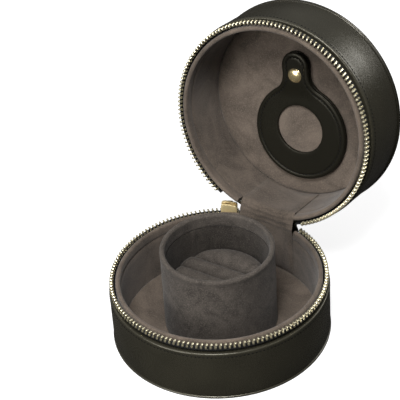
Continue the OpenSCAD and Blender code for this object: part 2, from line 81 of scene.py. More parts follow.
def scaled(value):
    """A property's metres as millimetres."""
    return value * 1000.0


def around(radius, angle):
    """A point of a circle about the origin."""
    a = math.radians(angle)
    return radius * math.cos(a), radius * math.sin(a)


def opened(point):
    """Where a point of the closed lid lies on the open lid."""
    c, s = around(1.0, LID_OPEN)
    y, z = point[1] - HINGE[0], point[2] - HINGE[1]
    return Vector((point[0], HINGE[0] + y * c + z * s, HINGE[1] - y * s + z * c))


def mirrored(z):
    """A height of the closed lid, mirrored at the zipper's seam."""
    return 2 * SEAM_Z - z


def on_lid(point):
    """The lid's lower parts repeat the base's, mirrored at the seam."""
    return opened((point[0], point[1], mirrored(point[2])))


def on_holder(point):
    """A point of the holder, across, along and out from the ceiling, on the open lid."""
    c, s = around(1.0, HOLDER_TURN)
    u, v, d = point
    x, y, z = HOLDER_AT
    return opened((x + u * c + v * s, y - u * s + v * c, z - d))


def smooth(t):
    t = min(max(t, 0.0), 1.0)
    return t * t * (3 - 2 * t)


def wander(*at):
    """Soft unevenness from -1 to 1."""
    return noise.noise(Vector(at))


# Sizes and colours that a user would change


def length(name, description, default):
    return bpy.props.FloatProperty(name=name, description=description, default=default, unit="LENGTH")


def number(name, description, default):
    return bpy.props.IntProperty(name=name, description=description, default=default)


def colour(name, description, default):
    return bpy.props.FloatVectorProperty(
        name=name, description=description, default=default, size=3, subtype="COLOR"
    )


class CaseSizes(bpy.types.PropertyGroup):
    """Walls, linings and the padded top."""

    radius: length("Wall radius", "Outside of the wall leather", 0.055)
    base_height: length("Base height", "From the underside to the base's leather edge", 0.0283)
    lid_top: length("Lid top", "Height of the closed lid's wall", 0.0665)
    inner_radius: length("Inner radius", "Inside of the suede walls", 0.0493)
    lining_thickness: length("Lining thickness", "Padded suede of the walls", 0.0023)
    dome_height: length("Dome height", "Rise of the padded top over its seam", 0.0071)
    pucker: length("Pucker depth", "Depth of the gathers at the top's seam", 0.00035)
    stitch_pitch: length("Stitch pitch", "From one stitch to the next", 0.00195)


class ZipperSizes(bpy.types.PropertyGroup):
    """Tape, teeth and their spacing."""

    tooth_radius: length("Tooth radius", "Radius of the middle of the rows", 0.05363)
    tooth_height: length("Tooth height", "From a tooth's legs to its tip", 0.0026)
    tooth_depth: length("Tooth depth", "Thickness of a tooth through the tape", 0.0019)
    tooth_step: bpy.props.FloatProperty(
        name="Tooth step",
        description="Angle from one tooth to the next",
        default=math.radians(2.4),
        subtype="ANGLE",
    )
    lower_teeth: number("Lower teeth", "Teeth on the base's row", 134)
    upper_teeth: number("Upper teeth", "Teeth on the lid's row", 127)


class CuffSizes(bpy.types.PropertyGroup):
    """Cuff and ring rolls."""

    radius: length("Cuff radius", "Outside of the cuff", 0.0285)
    rim_height: length("Rim height", "Height of the middle of the rolled rim", 0.0489)
    rim: length("Rim", "Radius of the rolled rim", 0.0013)
    puff: length("Puff", "How far a ring roll may swell", 0.0007)


class HolderSizes(bpy.types.PropertyGroup):
    """Tag holder with its snapped neck."""

    radius: length("Round end", "Radius of the holder's round end", 0.026)
    window: length("Window", "Radius of the window", 0.013)
    neck: length("Neck", "Half width of the neck", 0.0075)
    fillet: length("Fillet", "Radius between the neck and the round end", 0.010)
    reach: length("Reach", "From the round end's middle to the neck's tip", 0.0436)
    stitch_inset: length("Stitch inset", "From the outline to the stitches", 0.0026)


class CaseColours(bpy.types.PropertyGroup):
    """Colours of the finishes."""

    leather: colour("Leather", "Smooth dark hide", (0.024, 0.0222, 0.0155))
    thread: colour("Thread", "Waxed thread of the stitches", (0.0022, 0.0021, 0.002))
    suede: colour("Wall suede", "Warm grey suede of walls, floor and ceiling", (0.093, 0.0735, 0.0577))
    suede_dark: colour("Cuff suede", "Darker suede of the cuff", (0.054, 0.046, 0.039))
    tape: colour("Tape", "Woven zipper tape", (0.008, 0.008, 0.008))
    brass: colour("Teeth", "Pale brass of the teeth", (0.93, 0.86, 0.62))
    gold: colour("Fittings", "Plated slider, eye and snap", (0.98, 0.80, 0.44))
    board: colour("Board", "Stiff grey board in the walls", (0.17, 0.155, 0.13))
    floor: colour("Floor", "Studio floor", (0.5, 0.5, 0.5))


# Finishes


class Wiring:
    """Adds and links nodes of one tree."""

    def __init__(self, tree):
        self.tree = tree
        tree.nodes.clear()

    def feed(self, value, socket):
        """Links an output to a socket, or sets the socket to a plain value."""
        if isinstance(value, bpy.types.NodeSocket):
            self.tree.links.new(value, socket)
        else:
            socket.default_value = value

    def node(self, kind, inputs=None, **settings):
        made = self.tree.nodes.new(kind)
        for key, value in settings.items():
            setattr(made, key, value)
        for key, value in (inputs or {}).items():
            self.feed(value, made.inputs[key])
        return made

    def math(self, operation, a, b=0.0, clamp=False):
        made = self.node("ShaderNodeMath", {0: a, 1: b}, operation=operation, use_clamp=clamp)
        return made.outputs[0]

    def sum(self, a, b, clamp=False):
        return self.math("ADD", a, b, clamp)

    def product(self, a, b):
        return self.math("MULTIPLY", a, b)

    def vector(self, operation, a, b):
        return self.node("ShaderNodeVectorMath", {0: a, 1: b}, operation=operation)

    def noise(self, at, scale, detail, **more):
        inputs = {"Vector": at, "Scale": scale, "Detail": detail, **more}
        return self.node("ShaderNodeTexNoise", inputs).outputs

    def ramp(self, value, low, high, out_low=0.0, out_high=1.0):
        inputs = {0: value, 1: low, 2: high, 3: out_low, 4: out_high}
        return self.node("ShaderNodeMapRange", inputs).outputs[0]

    def mix(self, factor, a, b):
        made = self.node("ShaderNodeMix", {0: factor, 6: a, 7: b}, data_type="RGBA")
        return made.outputs[2]


def shader_group(name, inputs, outputs):
    """An empty shader group: its wiring, the sockets it is given and the sockets it gives out."""
    tree = bpy.data.node_groups.new(name, "ShaderNodeTree")
    for label, value in inputs.items():
        made = tree.interface.new_socket(name=label, in_out="INPUT", socket_type="NodeSocketFloat")
        made.default_value = value
    for label in outputs:
        tree.interface.new_socket(name=label, in_out="OUTPUT", socket_type="NodeSocketFloat")
    w = Wiring(tree)
    return w, w.node("NodeGroupInput").outputs, w.node("NodeGroupOutput").inputs


def hide_grain_group():
    """Pebbled grain of smooth hide: a height, a gloss mask and a soft change of tone."""
    inputs = {"Grain per metre": 1500.0, "Crease": 0.35}
    w, given, out = shader_group("Hide grain", inputs, ("Height", "Gloss", "Tone"))
    at = w.node("ShaderNodeTexCoord").outputs["Object"]
    bent = w.noise(at, 420.0, 2.0)["Color"]
    shift = w.vector("MULTIPLY", bent, (0.0006, 0.0006, 0.0006)).outputs[0]
    place = w.vector("ADD", at, shift).outputs[0]
    cells = w.node(
        "ShaderNodeTexVoronoi", {"Vector": place, "Scale": given[0]}, feature="DISTANCE_TO_EDGE"
    )
    pebble = w.ramp(cells.outputs["Distance"], 0.0, 0.22)
    fine = w.noise(at, 5200.0, 3.0)[0]
    crease = w.noise(at, 160.0, 5.0, Roughness=0.62)[0]
    folds = w.product(w.math("ABSOLUTE", w.math("SUBTRACT", crease, 0.5)), given[1])
    grain = w.sum(w.product(pebble, 0.6), w.product(fine, 0.25))
    broad = w.noise(at, 38.0, 4.0)[0]
    w.feed(w.sum(grain, folds), out["Height"])
    w.feed(w.ramp(w.sum(pebble, broad), 0.5, 1.7), out["Gloss"])
    w.feed(broad, out["Tone"])


def suede_nap_group():
    """Brushed nap: short fibres, the paler and darker strokes left by a hand, and specks."""
    inputs = {"Strokes per metre": 70.0, "Speck amount": 0.5}
    w, given, out = shader_group("Suede nap", inputs, ("Height", "Tone", "Specks"))
    at = w.node("ShaderNodeTexCoord").outputs["Object"]
    fibre = w.noise(at, 2600.0, 4.0, Roughness=0.7)[0]
    tuft = w.noise(at, 900.0, 3.0, Roughness=0.65)[0]
    stroke = w.noise(at, given[0], 4.0, Roughness=0.55, Distortion=1.2)[0]
    grains = w.noise(at, 1600.0, 2.0, Roughness=0.8)[0]
    brushed = w.sum(w.product(w.math("SUBTRACT", stroke, 0.5), 1.8), 0.5, clamp=True)
    w.feed(w.sum(w.product(fibre, 0.6), w.product(tuft, 0.5)), out["Height"])
    w.feed(w.sum(w.product(brushed, 0.7), w.product(tuft, 0.3)), out["Tone"])
    w.feed(w.product(w.ramp(grains, 0.48, 0.74), given[1]), out["Specks"])


def handled_metal_group():
    """Small scratches and dulled patches of handled metal."""
    w, given, out = shader_group("Handled metal", {"Polish": 0.2}, ("Roughness", "Tone", "Height"))
    at = w.node("ShaderNodeTexCoord").outputs["Object"]
    stretched = w.node("ShaderNodeMapping", {"Vector": at, "Scale": (1.0, 1.0, 9.0)}).outputs[0]
    scratch = w.noise(stretched, 1400.0, 4.0)[0]
    patch = w.noise(at, 260.0, 3.0)[0]
    dulled = w.sum(given[0], w.product(w.ramp(patch, 0.45, 0.8), 0.16))
    w.feed(w.sum(dulled, w.product(scratch, 0.06), clamp=True), out["Roughness"])
    w.feed(patch, out["Tone"])
    w.feed(scratch, out["Height"])


def tape_weave_group():
    """Herringbone weave of zipper tape, along the tape's own length and width in millimetres."""
    w, given, out = shader_group("Tape weave", {"Threads per millimetre": 2.2}, ("Height", "Tone"))
    at = w.node("ShaderNodeTexCoord").outputs["UV"]
    apart = w.node("ShaderNodeSeparateXYZ", {0: at}).outputs
    turn = 6.283
    along, over = w.product(apart[0], given[0]), w.product(apart[1], given[0])
    zigzag = w.math("PINGPONG", over, 1.5)
    warp = w.math("SINE", w.product(w.sum(along, zigzag), turn))
    weft = w.math("SINE", w.product(over, turn))
    height = w.sum(w.product(warp, 0.35), w.product(weft, 0.2))
    w.feed(w.sum(height, 0.5), out["Height"])
    w.feed(w.ramp(warp, -1.0, 1.0), out["Tone"])


def finish_of(name, tint, rough, bump, group, group_inputs, look, **shader):
    """A material with a Principled shader, a group of the surface's detail and a bump."""
    made = bpy.data.materials.new(name)
    made.use_nodes = True
    made.diffuse_color = (*tint, 1.0)
    w = Wiring(made.node_tree)
    out = w.node("ShaderNodeOutputMaterial")
    skin = w.node("ShaderNodeBsdfPrincipled", {"Roughness": rough})
    for key, value in shader.items():
        skin.inputs[key.replace("_", " ")].default_value = value
    w.feed(skin.outputs[0], out.inputs[0])
    detail = w.node("ShaderNodeGroup", node_tree=bpy.data.node_groups[group])
    for key, value in group_inputs.items():
        detail.inputs[key].default_value = value
    look(w, skin.inputs, detail.outputs, tint)
    strength, distance = bump
    raised = w.node(
        "ShaderNodeBump",
        {"Strength": strength, "Distance": distance, "Height": detail.outputs["Height"]},
    )
    w.feed(raised.outputs[0], skin.inputs["Normal"])


def toned(tint, share):
    """A colour made paler or deeper, with its alpha."""
    return [min(c * share, 1.0) for c in tint] + [1.0]


def leather_look(spread, low, high):
    def look(w, skin, detail, tint):
        shade = w.ramp(detail["Tone"], 0.3, 0.7)
        w.feed(w.mix(shade, toned(tint, 1.0 - spread * 0.6), toned(tint, 1.0 + spread)), skin["Base Color"])
        w.feed(w.ramp(detail["Gloss"], 0.0, 1.0, high, low), skin["Roughness"])

    return look


def suede_look(spread, speck):
    def look(w, skin, detail, tint):
        shade = w.ramp(detail["Tone"], 0.25, 0.75)
        base = w.mix(shade, toned(tint, 1.0 - spread), toned(tint, 1.0 + spread))
        w.feed(w.mix(detail["Specks"], base, toned(tint, 1.0 + speck)), skin["Base Color"])
        w.feed(w.ramp(detail["Tone"], 0.0, 1.0, 0.98, 0.84), skin["Roughness"])

    return look


def metal_look(w, skin, detail, tint):
    shade = w.ramp(detail["Tone"], 0.35, 0.75)
    w.feed(w.mix(shade, toned(tint, 1.0), toned(tint, 0.8)), skin["Base Color"])
    w.feed(detail["Roughness"], skin["Roughness"])


def weave_look(w, skin, detail, tint):
    w.feed(w.mix(detail["Tone"], toned(tint, 1.0), toned(tint, 2.6)), skin["Base Color"])
    w.feed(w.ramp(detail["Tone"], 0.0, 1.0, 0.9, 0.7), skin["Roughness"])


# Shapes


def mesh_of(name, shape, scale=0.001):
    """A bmesh as a mesh, from millimetres to metres unless told otherwise."""
    for vert in shape.verts:
        vert.co *= scale
    mesh = bpy.data.meshes.new(name)
    shape.to_mesh(mesh)
    shape.free()
    return mesh


def linked(name, data):
    """A new object in the scene."""
    made = bpy.data.objects.new(name, data)
    bpy.context.scene.collection.objects.link(made)
    return made


def dressed(made, skin, body, replaces, angle):
    """Smooth shading with edges sharp over an angle, the finish, the body and the solids it replaces."""
    mesh = made.data
    for face in mesh.polygons:
        face.use_smooth = True
    mesh.set_sharp_from_angle(angle=math.radians(angle))
    mesh.materials.clear()
    mesh.materials.append(bpy.data.materials[skin])
    if body:
        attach(made, body)
    if replaces:
        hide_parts(*replaces)
    return made


def shown(name, mesh, skin, body, replaces=(), angle=38.0):
    """Puts a finished mesh in the scene."""
    return dressed(linked(name, mesh), skin, body, replaces, angle)


def piece(name, shape, skin, body=None, replaces=(), place=None, angle=38.0):
    """A finished piece from a bmesh in millimetres: closed, facing outwards and in its place."""
    if place:
        for vert in shape.verts:
            vert.co = place(vert.co)
    bmesh.ops.remove_doubles(shape, verts=shape.verts, dist=1e-4)
    bmesh.ops.recalc_face_normals(shape, faces=shape.faces)
    return shown(name, mesh_of(name, shape), skin, body, replaces, angle)


def lathe(section, angles=ROUND, closed=True, about=(0.0, 0.0)):
    """A revolve of section(angle), a closed loop of radius and height, with its length and width in UV."""
    shape = bmesh.new()
    sheet_uv = shape.loops.layers.uv.new("UVMap")
    rings, marks = [], []
    for angle in angles:
        loop = section(angle)
        ring = []
        for r, z in loop:
            x, y = around(r, angle)
            ring.append(shape.verts.new((about[0] + x, about[1] + y, z)))
        row = [0.0]
        for p, q in zip(loop, loop[1:] + loop[:1]):
            row.append(row[-1] + math.dist(p, q))
        rings.append(ring)
        marks.append(row)
    n = len(rings[0])
    for i in range(len(rings) if closed else len(rings) - 1):
        j = (i + 1) % len(rings)
        near, far = marks[i], marks[j]
        start = math.radians(angles[i]) * WEAVE_RADIUS
        end = math.radians(angles[i] + (angles[j] - angles[i]) % 360) * WEAVE_RADIUS
        for k in range(n):
            m = (k + 1) % n
            corners = [rings[i][k], rings[j][k], rings[j][m], rings[i][m]]
            if (corners[0].co - corners[3].co).length < 1e-5:
                continue
            face = shape.faces.new(corners)
            places = ((start, near[k]), (end, far[k]), (end, far[k + 1]), (start, near[k + 1]))
            for corner, uv in zip(face.loops, places):
                corner[sheet_uv].uv = uv
    if not closed:
        shape.faces.new(rings[0])
        shape.faces.new(rings[-1])
    return shape


def bridged(shape, loops, capped=False):
    """Walls between closed loops of equal length, with the two ends capped or left open."""
    rows = [[shape.verts.new(p) for p in loop] for loop in loops]
    for a, b in zip(rows, rows[1:]):
        for i in range(len(a)):
            j = (i + 1) % len(a)
            shape.faces.new((a[i], a[j], b[j], b[i]))
    if capped:
        shape.faces.new(rows[0])
        shape.faces.new(rows[-1])
    return rows


def inside(p, loop):
    """Whether a point lies in a closed loop."""
    hit = False
    for a, b in zip(loop, loop[1:] + loop[:1]):
        if (a[1] > p[1]) != (b[1] > p[1]) and p[0] < (b[0] - a[0]) * (p[1] - a[1]) / (b[1] - a[1]) + a[0]:
            hit = not hit
    return hit


def filled(shape, outer, holes, height, spacing):
    """Fills between an outer loop and holes of (u, v) with a mesh of even triangles at height(u, v)."""
    loops = [outer, *holes]
    points, faces = [], []
    for loop in loops:
        start = len(points)
        points += [Vector(p) for p in loop]
        faces.append(list(range(start, len(points))))
    edges = [(f[i], f[(i + 1) % len(f)]) for f in faces for i in range(len(f))]
    least = (spacing * 0.6) ** 2

    def within(p):
        return inside(p, outer) and not any(inside(p, hole) for hole in holes)

    def clear(p):
        return all((p[0] - q[0]) ** 2 + (p[1] - q[1]) ** 2 > least for loop in loops for q in loop)

    low_u, high_u = min(p[0] for p in outer), max(p[0] for p in outer)
    low_v, high_v = min(p[1] for p in outer), max(p[1] for p in outer)
    for i in range(int((high_v - low_v) / spacing) + 2):
        for j in range(int((high_u - low_u) / spacing) + 2):
            p = (low_u + (j + 0.5 * (i % 2)) * spacing, low_v + i * spacing)
            if within(p) and clear(p):
                points.append(Vector(p))
    places, _, triangles = delaunay_2d_cdt(points, edges, [], 0, 1e-6)[:3]
    verts = [shape.verts.new((p.x, p.y, height(p.x, p.y))) for p in places]
    for triangle in triangles:
        if within(sum((places[k] for k in triangle), Vector((0, 0))) / 3):
            shape.faces.new([verts[k] for k in triangle])


def merged(node):
    """A copy of a solid's mesh, in metres, with its doubles merged."""
    shape = bmesh.new()
    shape.from_mesh(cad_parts[node].data)
    bmesh.ops.remove_doubles(shape, verts=shape.verts, dist=2e-6)
    return shape


def refined(name, node, skin, body, bevel):
    """A solid's own shape with its edges softened, in place of that solid."""
    shape = merged(node)
    bmesh.ops.dissolve_limit(
        shape, angle_limit=math.radians(1.0), verts=shape.verts, edges=shape.edges
    )
    sharp = [e for e in shape.edges if len(e.link_faces) == 2 and e.calc_face_angle(0) > math.radians(28)]
    bmesh.ops.bevel(
        shape, geom=sharp, offset=bevel * 0.001, offset_type="OFFSET", segments=2, profile=0.5,
        affect="EDGES", clamp_overlap=True,
    )
    bmesh.ops.triangulate(shape, faces=[f for f in shape.faces if len(f.verts) > 4])
    return shown(name, mesh_of(name, shape, 1.0), skin, body, [node], 42.0)


# Repeats


REPEAT_INPUTS = (
    ("Sway", "NodeSocketFloat", 0.0),
    ("Seed", "NodeSocketInt", 3),
    ("Unit", "NodeSocketObject", None),
    ("Material", "NodeSocketMaterial", None),
)


def repeat_tree(name, inputs):
    """A geometry tree with named inputs: its wiring, the inputs' sockets and the random turn."""
    tree = bpy.data.node_groups.new(name, "GeometryNodeTree")
    tree.is_modifier = True
    sockets = tree.interface
    sockets.new_socket(name="Geometry", in_out="INPUT", socket_type="NodeSocketGeometry")
    for label, kind, value in (*inputs, *REPEAT_INPUTS):
        made = sockets.new_socket(name=label, in_out="INPUT", socket_type=kind)
        if value is not None:
            made.default_value = value
    sockets.new_socket(name="Geometry", in_out="OUTPUT", socket_type="NodeSocketGeometry")
    w = Wiring(tree)
    given = w.node("NodeGroupInput").outputs
    least = w.product(given["Sway"], -1.0)
    drawn = w.node("FunctionNodeRandomValue", {2: least, 3: given["Sway"], "Seed": given["Seed"]})
    return w, given, drawn.outputs[1]


def turn_of(w, angles):
    """A rotation from the angles about some of the axes."""
    euler = w.node("ShaderNodeCombineXYZ", angles).outputs[0]
    return w.node("FunctionNodeEulerToRotation", {0: euler}).outputs[0]


def copied(w, given, points, rotation):
    """The end of each tree: copies of the unit, Realize Instances and Set Material."""
    unit = w.node("GeometryNodeObjectInfo", {"Object": given["Unit"]}).outputs["Geometry"]
    copies = w.node(
        "GeometryNodeInstanceOnPoints", {"Points": points, "Instance": unit, "Rotation": rotation}
    )
    solid = w.node("GeometryNodeRealizeInstances", {0: copies.outputs[0]}).outputs[0]
    painted = w.node("GeometryNodeSetMaterial", {"Geometry": solid, "Material": given["Material"]})
    w.node("NodeGroupOutput", {0: painted.outputs[0]})


def ring_tree():
    """Copies of a unit on a circle, each turned to face out."""
    w, given, sway = repeat_tree(
        "Units on a ring",
        (
            ("Count", "NodeSocketInt", 12),
            ("First angle", "NodeSocketFloat", 0.0),
            ("Step", "NodeSocketFloat", 0.1),
            ("Radius", "NodeSocketFloat", 0.05),
            ("Height", "NodeSocketFloat", 0.0),
        ),
    )
    line = w.node("GeometryNodeMeshLine", {"Count": given["Count"], "Offset": (0.0, 0.0, 0.0)}).outputs[0]
    index = w.node("GeometryNodeInputIndex").outputs[0]
    angle = w.sum(w.product(index, given["Step"]), given["First angle"])
    x = w.product(w.math("COSINE", angle), given["Radius"])
    y = w.product(w.math("SINE", angle), given["Radius"])
    at = w.node("ShaderNodeCombineXYZ", {0: x, 1: y, 2: given["Height"]}).outputs[0]
    placed = w.node("GeometryNodeSetPosition", {"Geometry": line, "Position": at}).outputs[0]
    copied(w, given, placed, turn_of(w, {0: sway, 2: angle}))


def path_tree():
    """Copies of a unit along a drawn path, lying along it and facing Up."""
    w, given, sway = repeat_tree(
        "Units on a path",
        (("Pitch", "NodeSocketFloat", 0.0026), ("Up", "NodeSocketVector", (0.0, 0.0, 1.0))),
    )
    curve = w.node("GeometryNodeMeshToCurve", {0: given["Geometry"]}).outputs[0]
    even = w.node(
        "GeometryNodeResampleCurve", {"Curve": curve, "Length": given["Pitch"]}, mode="LENGTH"
    )
    tangent = w.node("GeometryNodeInputTangent").outputs[0]
    lie = w.node("FunctionNodeAlignRotationToVector", {"Vector": tangent}, axis="X").outputs[0]
    face = w.node(
        "FunctionNodeAlignRotationToVector",
        {"Rotation": lie, "Vector": given["Up"]},
        axis="Z",
        pivot_axis="X",
    )
    both = w.node(
        "FunctionNodeRotateRotation",
        {"Rotation": face.outputs[0], "Rotate By": turn_of(w, {2: sway})},
        rotation_space="LOCAL",
    )
    copied(w, given, even.outputs[0], both.outputs[0])


def grown(tree_name, unit, skin, values, path=None, close=True):
    """The plain mesh that a tree makes of copies of a unit, a bmesh in millimetres."""
    bmesh.ops.recalc_face_normals(unit, faces=unit.faces)
    model = linked("unit", mesh_of("unit", unit))
    values = {**values, "Unit": model, "Material": bpy.data.materials[skin]}
    base = bpy.data.meshes.new("seed")
    if path:
        edges = [(i, i + 1) for i in range(len(path) - 1)]
        if close:
            edges.append((len(path) - 1, 0))
        base.from_pydata([Vector(p) * 0.001 for p in path], edges, [])
    carrier = linked("seed", base)
    repeat = carrier.modifiers.new("Repeat", "NODES")
    repeat.node_group = bpy.data.node_groups[tree_name]
    for item in repeat.node_group.interface.items_tree:
        if item.in_out == "INPUT" and item.name in values:
            repeat[item.identifier] = values[item.name]
    seen = carrier.evaluated_get(bpy.context.evaluated_depsgraph_get())
    made = bpy.data.meshes.new_from_object(seen)
    carrier.modifiers.remove(repeat)
    bpy.data.objects.remove(carrier)
    bpy.data.objects.remove(model)
    return made


def ring_of(unit, skin, count, first, step, radius, height, sway, seed, place=None):
    """Copies on a circle round the case, put on the lid where a place is given."""
    mesh = grown(
        "Units on a ring",
        unit,
        skin,
        {
            "Count": count,
            "First angle": math.radians(first),
            "Step": step,
            "Radius": radius * 0.001,
            "Height": height * 0.001,
            "Sway": sway,
            "Seed": seed,
        },
    )
    if place:
        for vert in mesh.vertices:
            vert.co = place(vert.co * 1000.0) * 0.001
    if place is on_lid:
        mesh.flip_normals()
    return mesh


def stitch_shape(span=1.05, thick=0.36):
    """One stitch along X: a thread that dips into its two holes."""
    sides, steps = 6, 6
    loops = []
    for k in range(steps + 1):
        t = k / steps
        swell = math.sin(math.pi * t)
        z = 0.14 * swell ** 0.6 - 0.12
        ring = [around(thick * (0.62 + 0.38 * swell), 360 / sides * i) for i in range(sides)]
        loops.append([((t - 0.5) * span, y, z + h * 0.6) for y, h in ring])
    shape = bmesh.new()
    bridged(shape, loops, capped=True)
    return shape


def tooth_shape(height, depth):
    """One stamped tooth: two legs that grip the tape, shoulders, and a cupped head that leans."""
    deep, tall = depth / 1.5, height / 2.2
    legs = ((0.0, 0.28, 0.66, 0.46), (0.18, 0.3, 0.75, 0.56), (0.95, 0.3, 0.75, 0.56))
    head = (
        (0.8, 0.74, 0.54, -0.16), (1.0, 0.75, 0.5, -0.13), (1.2, 0.7, 0.32, -0.02),
        (1.45, 0.68, 0.34, 0.12), (1.75, 0.68, 0.47, 0.2), (2.05, 0.6, 0.45, 0.2), (2.2, 0.4, 0.28, 0.2),
    )
    eight = ((1, -0.6), (1, 0.6), (0.62, 1), (-0.62, 1), (-1, 0.6), (-1, -0.6), (-0.62, -1), (0.62, -1))
    shape = bmesh.new()
    for side in (-deep, deep):
        loops = []
        for z, inner, outer, w in legs:
            four = ((inner, -w), (outer, -w * 0.8), (outer, w * 0.8), (inner, w))
            loops.append([(side * x, y + head[0][3], z) for x, y in four])
        bridged(shape, loops, capped=True)
    loops = [[(x * deep * c, y * s + lean, z * tall) for c, s in eight] for z, x, y, lean in head]
    bridged(shape, loops, capped=True)
    return shape


def stitch_ring(radius, height, arc=(0.0, 360.0), place=None, tilt=0.0):
    """A row of stitches round the case, at a radius and height, between two angles."""
    pitch = scaled(bpy.context.scene.case_sizes.stitch_pitch)
    span = arc[1] - arc[0]
    count = int(math.radians(span) * radius / pitch)
    shape = stitch_shape()
    # Each stitch is turned from X to the ring's tangent with its back to the outside, then leaned back
    lean = Matrix.Rotation(math.radians(tilt), 4, "Y")
    turn = Matrix(((0, 0, 1, 0), (1, 0, 0, 0), (0, 1, 0, 0), (0, 0, 0, 1)))
    for vert in shape.verts:
        vert.co = lean @ (turn @ vert.co)
    step = math.radians(span / count)
    return ring_of(shape, "Waxed thread", count, arc[0], step, radius, height, 0.04, 7, place)


def stitch_path(points, up, close=False, span=1.05):
    """A row of stitches along points in millimetres."""
    pitch = bpy.context.scene.case_sizes.stitch_pitch
    values = {"Pitch": pitch, "Up": tuple(up), "Sway": 0.05, "Seed": 11}
    return grown("Units on a path", stitch_shape(span), "Waxed thread", values, points, close)


# Operators


class FINISHES_OT_make(bpy.types.Operator):
    """Make the leather, suede, tape, thread, metal and board finishes"""

    bl_idname = "travel_case.finishes"
    bl_label = "Finishes"

    def execute(self, context):
        for build in (hide_grain_group, suede_nap_group, handled_metal_group, tape_weave_group):
            build()
        self.leathers(context.scene.case_colours)
        self.suedes(context.scene.case_colours)
        self.metals(context.scene.case_colours)
        ring_tree()
        path_tree()
        return {"FINISHED"}

    def leathers(self, c):
        warm = (1.0, 0.94, 0.76, 1.0)
        finish_of(
            "Wall leather", c.leather, 0.36, (0.26, 0.00013),
            "Hide grain", {"Grain per metre": 1500.0, "Crease": 0.3}, leather_look(0.25, 0.2, 0.34),
            Specular_IOR_Level=0.55, Specular_Tint=warm, Coat_Weight=0.12, Coat_Roughness=0.14,
        )
        finish_of(
            "Holder leather", [v * 0.34 for v in c.leather], 0.34, (0.14, 0.0001),
            "Hide grain", {"Grain per metre": 2100.0, "Crease": 0.15}, leather_look(0.2, 0.26, 0.4),
            Specular_IOR_Level=0.18, Specular_Tint=warm,
        )
        finish_of(
            "Piping leather", [v * 0.5 for v in c.leather], 0.32, (0.2, 0.0001),
            "Hide grain", {"Grain per metre": 1800.0, "Crease": 0.4}, leather_look(0.2, 0.22, 0.36),
            Specular_IOR_Level=0.42, Specular_Tint=warm, Coat_Weight=0.2, Coat_Roughness=0.12,
        )
        finish_of(
            "Waxed thread", c.thread, 0.4, (0.3, 0.0001),
            "Hide grain", {"Grain per metre": 3500.0, "Crease": 0.2}, leather_look(0.3, 0.26, 0.42),
            Specular_IOR_Level=0.12,
        )

    def suedes(self, c):
        finish_of(
            "Wall suede", c.suede, 0.92, (0.55, 0.00025),
            "Suede nap", {"Strokes per metre": 55.0, "Speck amount": 0.8}, suede_look(0.38, 0.9),
            Specular_IOR_Level=0.2, Sheen_Weight=0.15, Sheen_Roughness=0.5,
        )
        # The inner cuff suede is the cuff suede darkened to 0.62 as painted shade, for the shaded inside of
        # the cup and its floor pad.
        for name, share, gleam, sheen in (
            ("Cuff suede", 1.0, 0.2, 0.08),
            ("Inner cuff suede", 0.62, 0.15, 0.06),
        ):
            finish_of(
                name, [v * share for v in c.suede_dark], 0.94, (0.7, 0.0003),
                "Suede nap", {"Strokes per metre": 110.0, "Speck amount": 0.9}, suede_look(0.35, 1.4),
                Specular_IOR_Level=gleam, Sheen_Weight=sheen, Sheen_Roughness=0.45,
            )
        finish_of(
            "Grey board", c.board, 0.9, (0.4, 0.0002),
            "Suede nap", {"Strokes per metre": 160.0, "Speck amount": 0.6}, suede_look(0.15, 0.4),
            Specular_IOR_Level=0.25,
        )
        finish_of(
            "Tape weave", c.tape, 0.8, (0.5, 0.0001),
            "Tape weave", {"Threads per millimetre": 2.2}, weave_look, Specular_IOR_Level=0.3,
        )

    def metals(self, c):
        for name, tint, rough, bump, polish, metallic in (
            ("Tooth brass", c.brass, 0.34, (0.1, 0.00003), 0.24, 0.9),
            ("Slider plating", c.gold, 0.45, (0.08, 0.00002), 0.4, 0.7),
            ("Plated fittings", c.gold, 0.15, (0.05, 0.00002), 0.14, 0.88),
        ):
            finish_of(
                name, tint, rough, bump, "Handled metal", {"Polish": polish}, metal_look, Metallic=metallic
            )


class UNDERSIDE_OT_make(bpy.types.Operator):
    """Make the underside's leather disc with its burnished edge and stitched border"""

    bl_idname = "travel_case.underside"
    bl_label = "Underside"

    def execute(self, context):
        edge, middle = 55.3, 30.0
        groove, depth = 2.8, 0.3

        def section(angle):
            ripple = 0.04 * wander(angle * 0.15, 2.0, 0.0)
            border = (
                (1.4, BOARD_FOOT), (0.8, 1.42), (0.3, 1.2), (0.05 - ripple, 0.9), (0.02, 0.6), (0.16, 0.26),
                (0.5, 0.05), (1.1, 0.0), (groove - 0.5, 0.0), (groove - 0.25, depth),
                (groove + 0.25, depth), (groove + 0.5, 0.0),
            )
            rim = [(edge - r, z) for r, z in border]
            return [(0.0, BOARD_FOOT), (middle, BOARD_FOOT), *rim, (middle, 0.0), (0.0, 0.0)]

        piece("underside_leather", lathe(section), "Wall leather", "base", ["base_bottom_cover"])
        rows = stitch_ring(edge - groove, depth - 0.03, tilt=90.0)
        shown("underside_stitches", rows, "Waxed thread", "base")
        return {"FINISHED"}


def wall_section(bottom, top, radius):
    """Wall leather: drawn in at its foot, grooved for the stitches, and turned in over the board."""
    board, inner, hem = 53.8, 52.2, 0.72
    foot = ((-0.75, 0.0), (-0.32, 0.1), (-0.1, 0.34), (0.0, 0.8), (0.0, (top - bottom) / 2))
    crest = (
        (0.0, 4.6), (0.05, 3.1), (0.04, 2.8), (0.0, 2.6), (-0.04, 2.4), (-0.04, 2.1), (0.0, 1.9),
        (0.06, 1.65), (0.07, 1.2), (0.02, 0.7), (-0.14, 0.3), (-0.45, 0.06), (-0.9, 0.0),
    )
    turned = ((board - 0.5, 0.0), (inner + 0.3, 0.03), (inner, 0.2), (inner, hem), (board, hem))
    return [
        *((radius + r, bottom + z) for r, z in foot),
        *((radius + r, top - z) for r, z in crest),
        *((r, top - z) for r, z in turned),
        (board, bottom),
    ]


